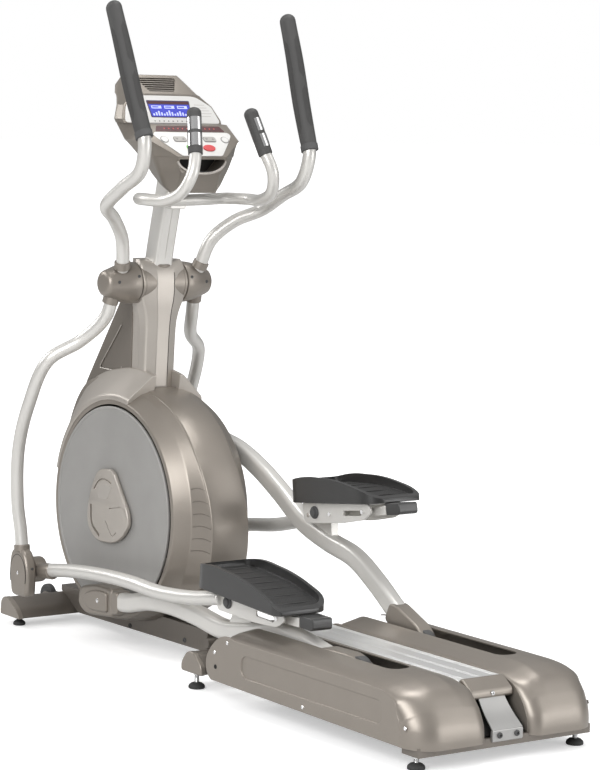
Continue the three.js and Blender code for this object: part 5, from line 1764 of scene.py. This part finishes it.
@dataclass
class Footpad:
    """A pedal: a long dished tread in a raised tray."""

    side: Side
    link: Place
    inner: float = 98.0
    outer: float = 272.0
    ahead: float = 28.0
    behind: float = 342.0

    def build(self) -> None:
        """Makes the tray, the tread and its ribs."""
        s, word = self.side.value, self.side.word
        body = f"{word}_link"
        place = self.link.beside(PAD_AHEAD, PAD_UP, PAD_TILT)
        inner, outer, ahead, behind = self.inner, self.outer, self.ahead, self.behind
        profile = rounded([
            (ahead, 0.3, 8), (ahead + 4, 60, 14), (-40, 72, 60), (-180, 64, 110), (-295, 36, 60),
            (2 - behind, 12, 6), (-behind, 0.3, 4),
        ], 10)
        plan = rounded([
            (s * inner, ahead + 8, 52), (s * outer, ahead + 8, 46), (s * outer, -behind, 30),
            (s * inner, -behind, 66),
        ], 14)
        tray = Piece.prism(f"{word}_pedal_tray", profile, s * inner, s * outer, place=place)
        tray.keep(Piece.prism("plan_tool", plan, -5, 99, "z", place))
        well = rounded([
            (ahead - 10, 99), (ahead - 10, 46, 14), (-60, 47, 36), (-190, 39, 80), (-290, 19, 40),
            (16 - behind, 9, 8), (16 - behind, 99),
        ], 8)
        inset = rounded([
            (s * (inner + 11), ahead - 4, 44), (s * (outer - 11), ahead - 4, 38),
            (s * (outer - 11), 14 - behind, 24), (s * (inner + 11), 14 - behind, 56),
        ], 12)
        hollow = Piece.prism("well_tool", well, s * (inner + 5), s * (outer - 5), place=place)
        hollow.keep(Piece.prism("inset_tool", inset, 0, 98, "z", place))
        tray.cut(hollow).soften(4, 4, 42).done(PEDAL, body, f"{word}_pedal", slot="pedal", smooth=40)
        floor = np.array(rounded([(ahead - 12, 46), (-60, 47, 60), (-190, 39, 60), (-290, 19, 40),
                                  (20 - behind, 10)], 10, False))
        rows = []
        for b in np.linspace(ahead - 16, -behind + 24, 44):
            h = float(np.interp(-b, -floor[:, 0], floor[:, 1])) + 0.6
            near = min(1.0, (ahead - 10 - b) / 30, (b + behind - 18) / 30)
            half = (outer - inner) / 2 - 17 - 18 * (1 - math.sqrt(max(0.0, 1 - (1 - near) ** 2)))
            mid = (inner + outer) / 2
            rows.append([(s * (mid + half * c), b, h + 1.6 * (1 - abs(c) ** 6))
                         for c in np.linspace(-1, 1, 15)])
        Piece.grid(f"{word}_pedal_tread", rows, place=place).shell(1.2).done(TREAD, body, smooth=50)
        for k in range(7):
            b = -20 - k * 46
            h = float(np.interp(-b, -floor[:, 0], floor[:, 1])) + 2.2
            rib = [(s * (inner + 30), b + 5, h - 0.4), (s * 175, b, h + 0.4),
                   (s * (outer - 30), b + 5, h - 0.4)]
            Piece.sweep(f"{word}_tread_rib_{k}", rib, ring(2.6, 1.3, 12), 24, place, (2, 2)).done(PEDAL, body)


@dataclass
class PedalArm:
    """One pedal arm, from the roller axle to the crank boot."""

    side: Side
    place: Place
    x: float = ARM_X
    length: float = BARS.arm
    width: float = 44.0
    half: float = 26.0
    line: tuple = (
        (0.05, 4), (0.109, 6), (0.202, 28), (0.294, 33), (0.395, 24), (0.504, 7), (0.605, 19), (0.706, 41),
        (0.798, 31), (0.891, 10), (0.956, 2),
    )

    def build(self) -> None:
        """Makes the tube, its pivot post, the roller fork and the crank boot."""
        s, word, body, place = self.side.value, self.side.word, f"{self.side.word}_arm", self.place
        x, length = self.x, self.length
        line = [(s * x, (1 - t) * length, up) for t, up in self.line]
        section = rectangle(self.width / 2, self.half, 16, 8)
        tube = Piece.sweep(f"{word}_arm_tube", line, section, 120, place)
        space = on_side([(0, x - 16), (37, x - 16), (37, x + 16), (0, x + 16)], s)
        tube.cut(Piece.lathe("room_tool", space, 64, place=place))
        tube.done(SILVER, body, f"{word}_pedal_arm", slot="silver", smooth=45)
        reach, up = length - BARS.pedal_along, BARS.pedal_up
        web = rounded([(reach - 66, 12, 6), (reach + 70, 12, 6), (reach + 17, up - 4, 12),
                       (reach - 17, up - 4, 12)], 7)
        post = Piece.prism(f"{word}_arm_post", web, s * (x - 12), s * (x + 12), place=place)
        post.soften(3, 4).done(SILVER, body)
        boss = [(8.3, 124.5), (16, 124.5), (17, 126), (17, 220), (16, 221.5), (8.3, 221.5)]
        Piece.lathe(f"{word}_arm_boss", on_side(boss, s), 48, reach, up, place).done(SILVER, body, smooth=35)
        self._fork(s, word, body)
        self._boot(s, word, body)
        dress(f"{word}_roller_axle", STEEL, 0.8)
        seat = x + self.width / 2 + 2
        cap = [(r, seat + h) for r, h in ((0, 2), (5, 2), (5, 4), (11, 4), (13, 3), (13, 0), (0, 0))]
        Piece.lathe(f"{word}_axle_cap", on_side(cap, s), 40, place=place).done(BLACK, f"{word}_axle",
                                                                               smooth=35)

    def _fork(self, s: int, word: str, body: str) -> None:
        """Makes the roller's cheeks and the sleeve ahead of it."""
        x, out = self.x, self.width / 2 + 1
        cheek = rounded([(-18, -16, 16), (60, -22, 8), (116, -22, 4), (116, 32, 4), (60, 26, 8),
                         (-18, 18, 16)], 7)
        for k, low in enumerate((x - out, x + out - 6)):
            piece = Piece.prism(f"{word}_fork_{k}", cheek, s * low, s * (low + 6), place=self.place)
            piece.soften(1.5, 3).done(TAUPE, body)
        sleeve = rounded([
            (-30, -8, 18), (0, -24, 12), (128, -27, 10), (150, -20, 10), (150, 28, 10), (128, 37, 10),
            (20, 37, 20), (-30, 14, 18),
        ], 7)
        piece = Piece.prism(f"{word}_arm_sleeve", sleeve, s * (x - out - 0.6), s * (x + out + 0.6),
                            place=self.place)
        piece.soften(6, 5, 40).done(TAUPE, body, smooth=35)

    def _boot(self, s: int, word: str, body: str) -> None:
        """Makes the faceted boot over the crank pin."""
        x, n, half = self.x, self.length, self.width / 2
        face = rounded([
            (n - 79, -42, 16), (n + 60, -52, 30), (n + 106, -30, 38), (n + 96, 24, 44), (n, 44, 50),
            (n - 79, 38, 16),
        ], 9)
        boot = Piece.prism(f"{word}_boot_block", face, s * (x - half), s * (x + half + 3), place=self.place)
        boot.soften(9, 6, 40).done(TAUPE, body, f"{word}_crank_boot", slot="cover", smooth=35)
        facet = rounded([
            (n - 58, -30, 8), (n + 30, -35, 16), (n + 66, -16, 18), (n + 56, 12, 18), (n, 28, 24),
            (n - 58, 24, 8),
        ], 7)
        raised = Piece.prism(f"{word}_boot_facet", facet, s * (x + half - 4), s * (x + half + 10),
                             place=self.place)
        raised.soften(6, 4, 40).done(TAUPE, body, smooth=35)
        cuff = rounded([(n - 104, -31, 14), (n - 70, -34, 14), (n - 70, 34, 14), (n - 104, 33, 14)], 8)
        piece = Piece.prism(f"{word}_boot_cuff", cuff, s * (x - half - 1.5), s * (x + half + 1.5),
                            place=self.place)
        piece.soften(5, 4, 40).done(TAUPE, body, smooth=35)
        button(f"{word}_boot_screw", (s * (x + half + 10), n - 14, -2), "x", 6.5, s * 2, CHROME, body,
               self.place)
        button(f"{word}_boot_inner_screw", (s * (x - half), n - 52, 2), "x", 5.5, s * -2, BLACK, body,
               self.place)


@dataclass
class Roller:
    """The roller that carries the pedal arm along the bed."""

    side: Side
    place: Place
    radius: float = 34.0

    def build(self) -> None:
        """Makes the tyre and the bearing faces."""
        s, word, x, r = self.side.value, self.side.word, ARM_X, self.radius
        half = [(9.4, 14.5), (20, 14.5), (22, 13), (25, 12.4), (26, 13.5), (30, 13.5), (r - 1, 12), (r, 9),
                (r, 0)]
        profile = [*half, *[(a, -b) for a, b in reversed(half[:-1])]]
        profile = on_side([(a, x + b) for a, b in profile], s)
        tyre = Piece.lathe(f"{word}_roller_tyre", profile, 64, place=self.place)
        tyre.done(BLACK, f"{word}_roller", f"{word}_roller", slot="black_plastic", smooth=30)


# ------------------------------------------------------------------------------------------ the studio
@dataclass
class Studio:
    """The floor, the lights and the camera."""

    eye: tuple = (-4.26793, -5.95390, 1.63117)
    yaw: float = 36.272
    pitch: float = 6.489
    roll: float = 1.727
    lens: float = 128.97
    sensor: float = 36.0
    sight: float = 200.0
    floor_size: float = 90.0
    floor_drop: float = 0.0005
    lights: tuple = (
        ("key", (-5.0, -2.6, 3.2), (0, -0.2, 0.6), 3.4, 275),
        ("side", (4.4, -4.2, 4.4), (0, 0, 0.6), 3.4, 55),
        ("low", (3.0, -5.0, 0.9), (0, 0.3, 0.9), 3.2, 110),
        ("rear_rim", (-3.0, 4.6, 3.4), (0, 0.4, 0.9), 2.0, 90),
        ("top", (0.6, -0.2, 5.6), (0, 0, 0), 2.6, 150),
    )

    def build(self) -> None:
        """Makes the floor, the lights and the camera."""
        self._floor()
        self._world()
        for light in self.lights:
            self._light(*light)
        self._camera()

    @staticmethod
    def _seen(tree: Tree, plain: Point, seen: Point) -> bpy.types.NodeSocket:
        """A colour that direct sight and bounced light see differently.

        Args:
            tree: The node tree to build in.
            plain: What lamps and reflections see.
            seen: What direct sight sees.

        Returns:
            The mixed colour's socket.
        """
        mix = tree.nodes.new("ShaderNodeMix")
        mix.data_type = "RGBA"
        mix.inputs["A"].default_value, mix.inputs["B"].default_value = (*plain, 1), (*seen, 1)
        tree.links.new(tree.nodes.new("ShaderNodeLightPath").outputs["Is Camera Ray"], mix.inputs["Factor"])
        return mix.outputs["Result"]

    def _floor(self) -> None:
        """Makes the pale floor."""
        bpy.ops.mesh.primitive_plane_add(size=self.floor_size, location=(0, 0, -self.floor_drop))
        floor = bpy.context.active_object
        floor.name = "studio_floor"
        material = bpy.data.materials.new("studio_floor")
        material.use_nodes = True
        tree = material.node_tree
        shader = tree.nodes["Principled BSDF"]
        shader.inputs["Roughness"].default_value = 0.9
        tree.links.new(self._seen(tree, (0.68, 0.68, 0.68), (0.80, 0.80, 0.80)), shader.inputs["Base Color"])
        node, link = tree.nodes.new, tree.links.new
        length, fade, lit = node("ShaderNodeVectorMath"), node("ShaderNodeMapRange"), node("ShaderNodeMix")
        length.operation, lit.data_type = "LENGTH", "RGBA"
        link(node("ShaderNodeTexCoord").outputs["Object"], length.inputs[0])
        link(length.outputs["Value"], fade.inputs["Value"])
        fade.inputs["From Min"].default_value, fade.inputs["From Max"].default_value = 1.6, 4.5
        fade.inputs["To Min"].default_value = 0.46
        link(fade.outputs["Result"], lit.inputs["Factor"])
        lit.inputs["A"].default_value = (0, 0, 0, 1)
        link(self._seen(tree, (0, 0, 0), (1, 1, 1)), lit.inputs["B"])
        link(lit.outputs["Result"], shader.inputs["Emission Color"])
        shader.inputs["Emission Strength"].default_value = 1.0
        floor.data.materials.append(material)
        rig.stage(floor)

    def _world(self) -> None:
        """Sets surroundings that are white to the eye and softer to the lamps and reflections."""
        world = bpy.data.worlds.new("studio_world")
        bpy.context.scene.world = world
        world.use_nodes = True
        tree = world.node_tree
        node, link = tree.nodes.new, tree.links.new
        split = node("ShaderNodeSeparateXYZ")
        link(node("ShaderNodeTexCoord").outputs["Generated"], split.inputs["Vector"])
        ramp = node("ShaderNodeValToRGB")
        stops = ramp.color_ramp.elements
        stops[0].position, stops[0].color = 0.0, (0.16, 0.16, 0.16, 1)
        stops[1].position, stops[1].color = 1.0, (0.54, 0.54, 0.54, 1)
        for at, tone in ((0.12, 0.18), (0.45, 0.37)):
            stop = stops.new(at)
            stop.color = (tone, tone, tone, 1)
        link(split.outputs["Z"], ramp.inputs["Fac"])
        mix = node("ShaderNodeMix")
        mix.data_type = "RGBA"
        mix.inputs["B"].default_value = (1, 1, 1, 1)
        link(ramp.outputs["Color"], mix.inputs["A"])
        link(node("ShaderNodeLightPath").outputs["Is Camera Ray"], mix.inputs["Factor"])
        link(mix.outputs["Result"], tree.nodes["Background"].inputs["Color"])
        bpy.context.scene.view_settings.view_transform = "Standard"

    def _light(self, name: str, at: Point, aim: Point, size: float, power: float) -> None:
        """Adds one soft rectangular light.

        Args:
            name: The light's name.
            at: Where it hangs.
            aim: What it faces.
            size: Its side.
            power: Its power in watts.
        """
        data = bpy.data.lights.new(name, "AREA")
        data.shape, data.size, data.energy = "SQUARE", size, power
        lamp = bpy.data.objects.new(name, data)
        lamp.location = at
        lamp.rotation_euler = (Vector(aim) - Vector(at)).to_track_quat("-Z", "Y").to_euler()
        bpy.context.scene.collection.objects.link(lamp)
        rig.stage(lamp)

    def _camera(self) -> None:
        """Sets the camera."""
        yaw, pitch, roll = (math.radians(a) for a in (self.yaw, self.pitch, self.roll))
        ahead = Vector((math.sin(yaw) * math.cos(pitch), math.cos(yaw) * math.cos(pitch), -math.sin(pitch)))
        flat = Vector((math.cos(yaw), -math.sin(yaw), 0))
        rise = flat.cross(ahead)
        right = flat * math.cos(roll) + rise * math.sin(roll)
        up = rise * math.cos(roll) - flat * math.sin(roll)
        data = bpy.data.cameras.new("view")
        data.lens, data.sensor_width, data.clip_end = self.lens, self.sensor, self.sight
        camera = bpy.data.objects.new("view", data)
        turn = Matrix((right, up, -ahead)).transposed().to_4x4()
        camera.matrix_world = Matrix.Translation(self.eye) @ turn
        bpy.context.scene.collection.objects.link(camera)
        bpy.context.scene.camera = camera


@dataclass
class Trainer:
    """The whole machine."""

    linkage: Linkage

    def build(self) -> None:
        """Builds every sub-assembly in order."""
        parts: list = [Stand(), *[RailCover(side) for side in Side], *[SideCase(side) for side in Side],
                       Spine(), Drive()]
        parts += [Mast(), Handrail(), Console()]
        for side in Side:
            places = self.linkage.places(side)
            parts += [
                SwingArm(side, places["swing"]), LinkRod(side, places["link"]), Footpad(side, places["link"]),
                PedalArm(side, places["arm"]), Roller(side, places["arm"]),
            ]
        for part in parts:
            part.build()
            LOG.info("built %s", type(part).__name__)


def save_bounds(key: str) -> None:
    low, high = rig.bounds()
    sizes = {}
    if key != "cad":
        with open(SIZE_FILE, encoding="utf-8") as text:
            sizes = json.load(text)
    sizes[key] = {"low": [round(v, 5) for v in low], "high": [round(v, 5) for v in high]}
    with open(SIZE_FILE, "w", encoding="utf-8") as text:
        json.dump(sizes, text, indent=1)


def main() -> None:
    """Builds the machine and the studio."""
    logging.basicConfig(level=logging.INFO)
    save_bounds("cad")
    Trainer(BARS).build()
    Studio().build()
    save_bounds("visual")


if __name__ == "__main__":
    main()
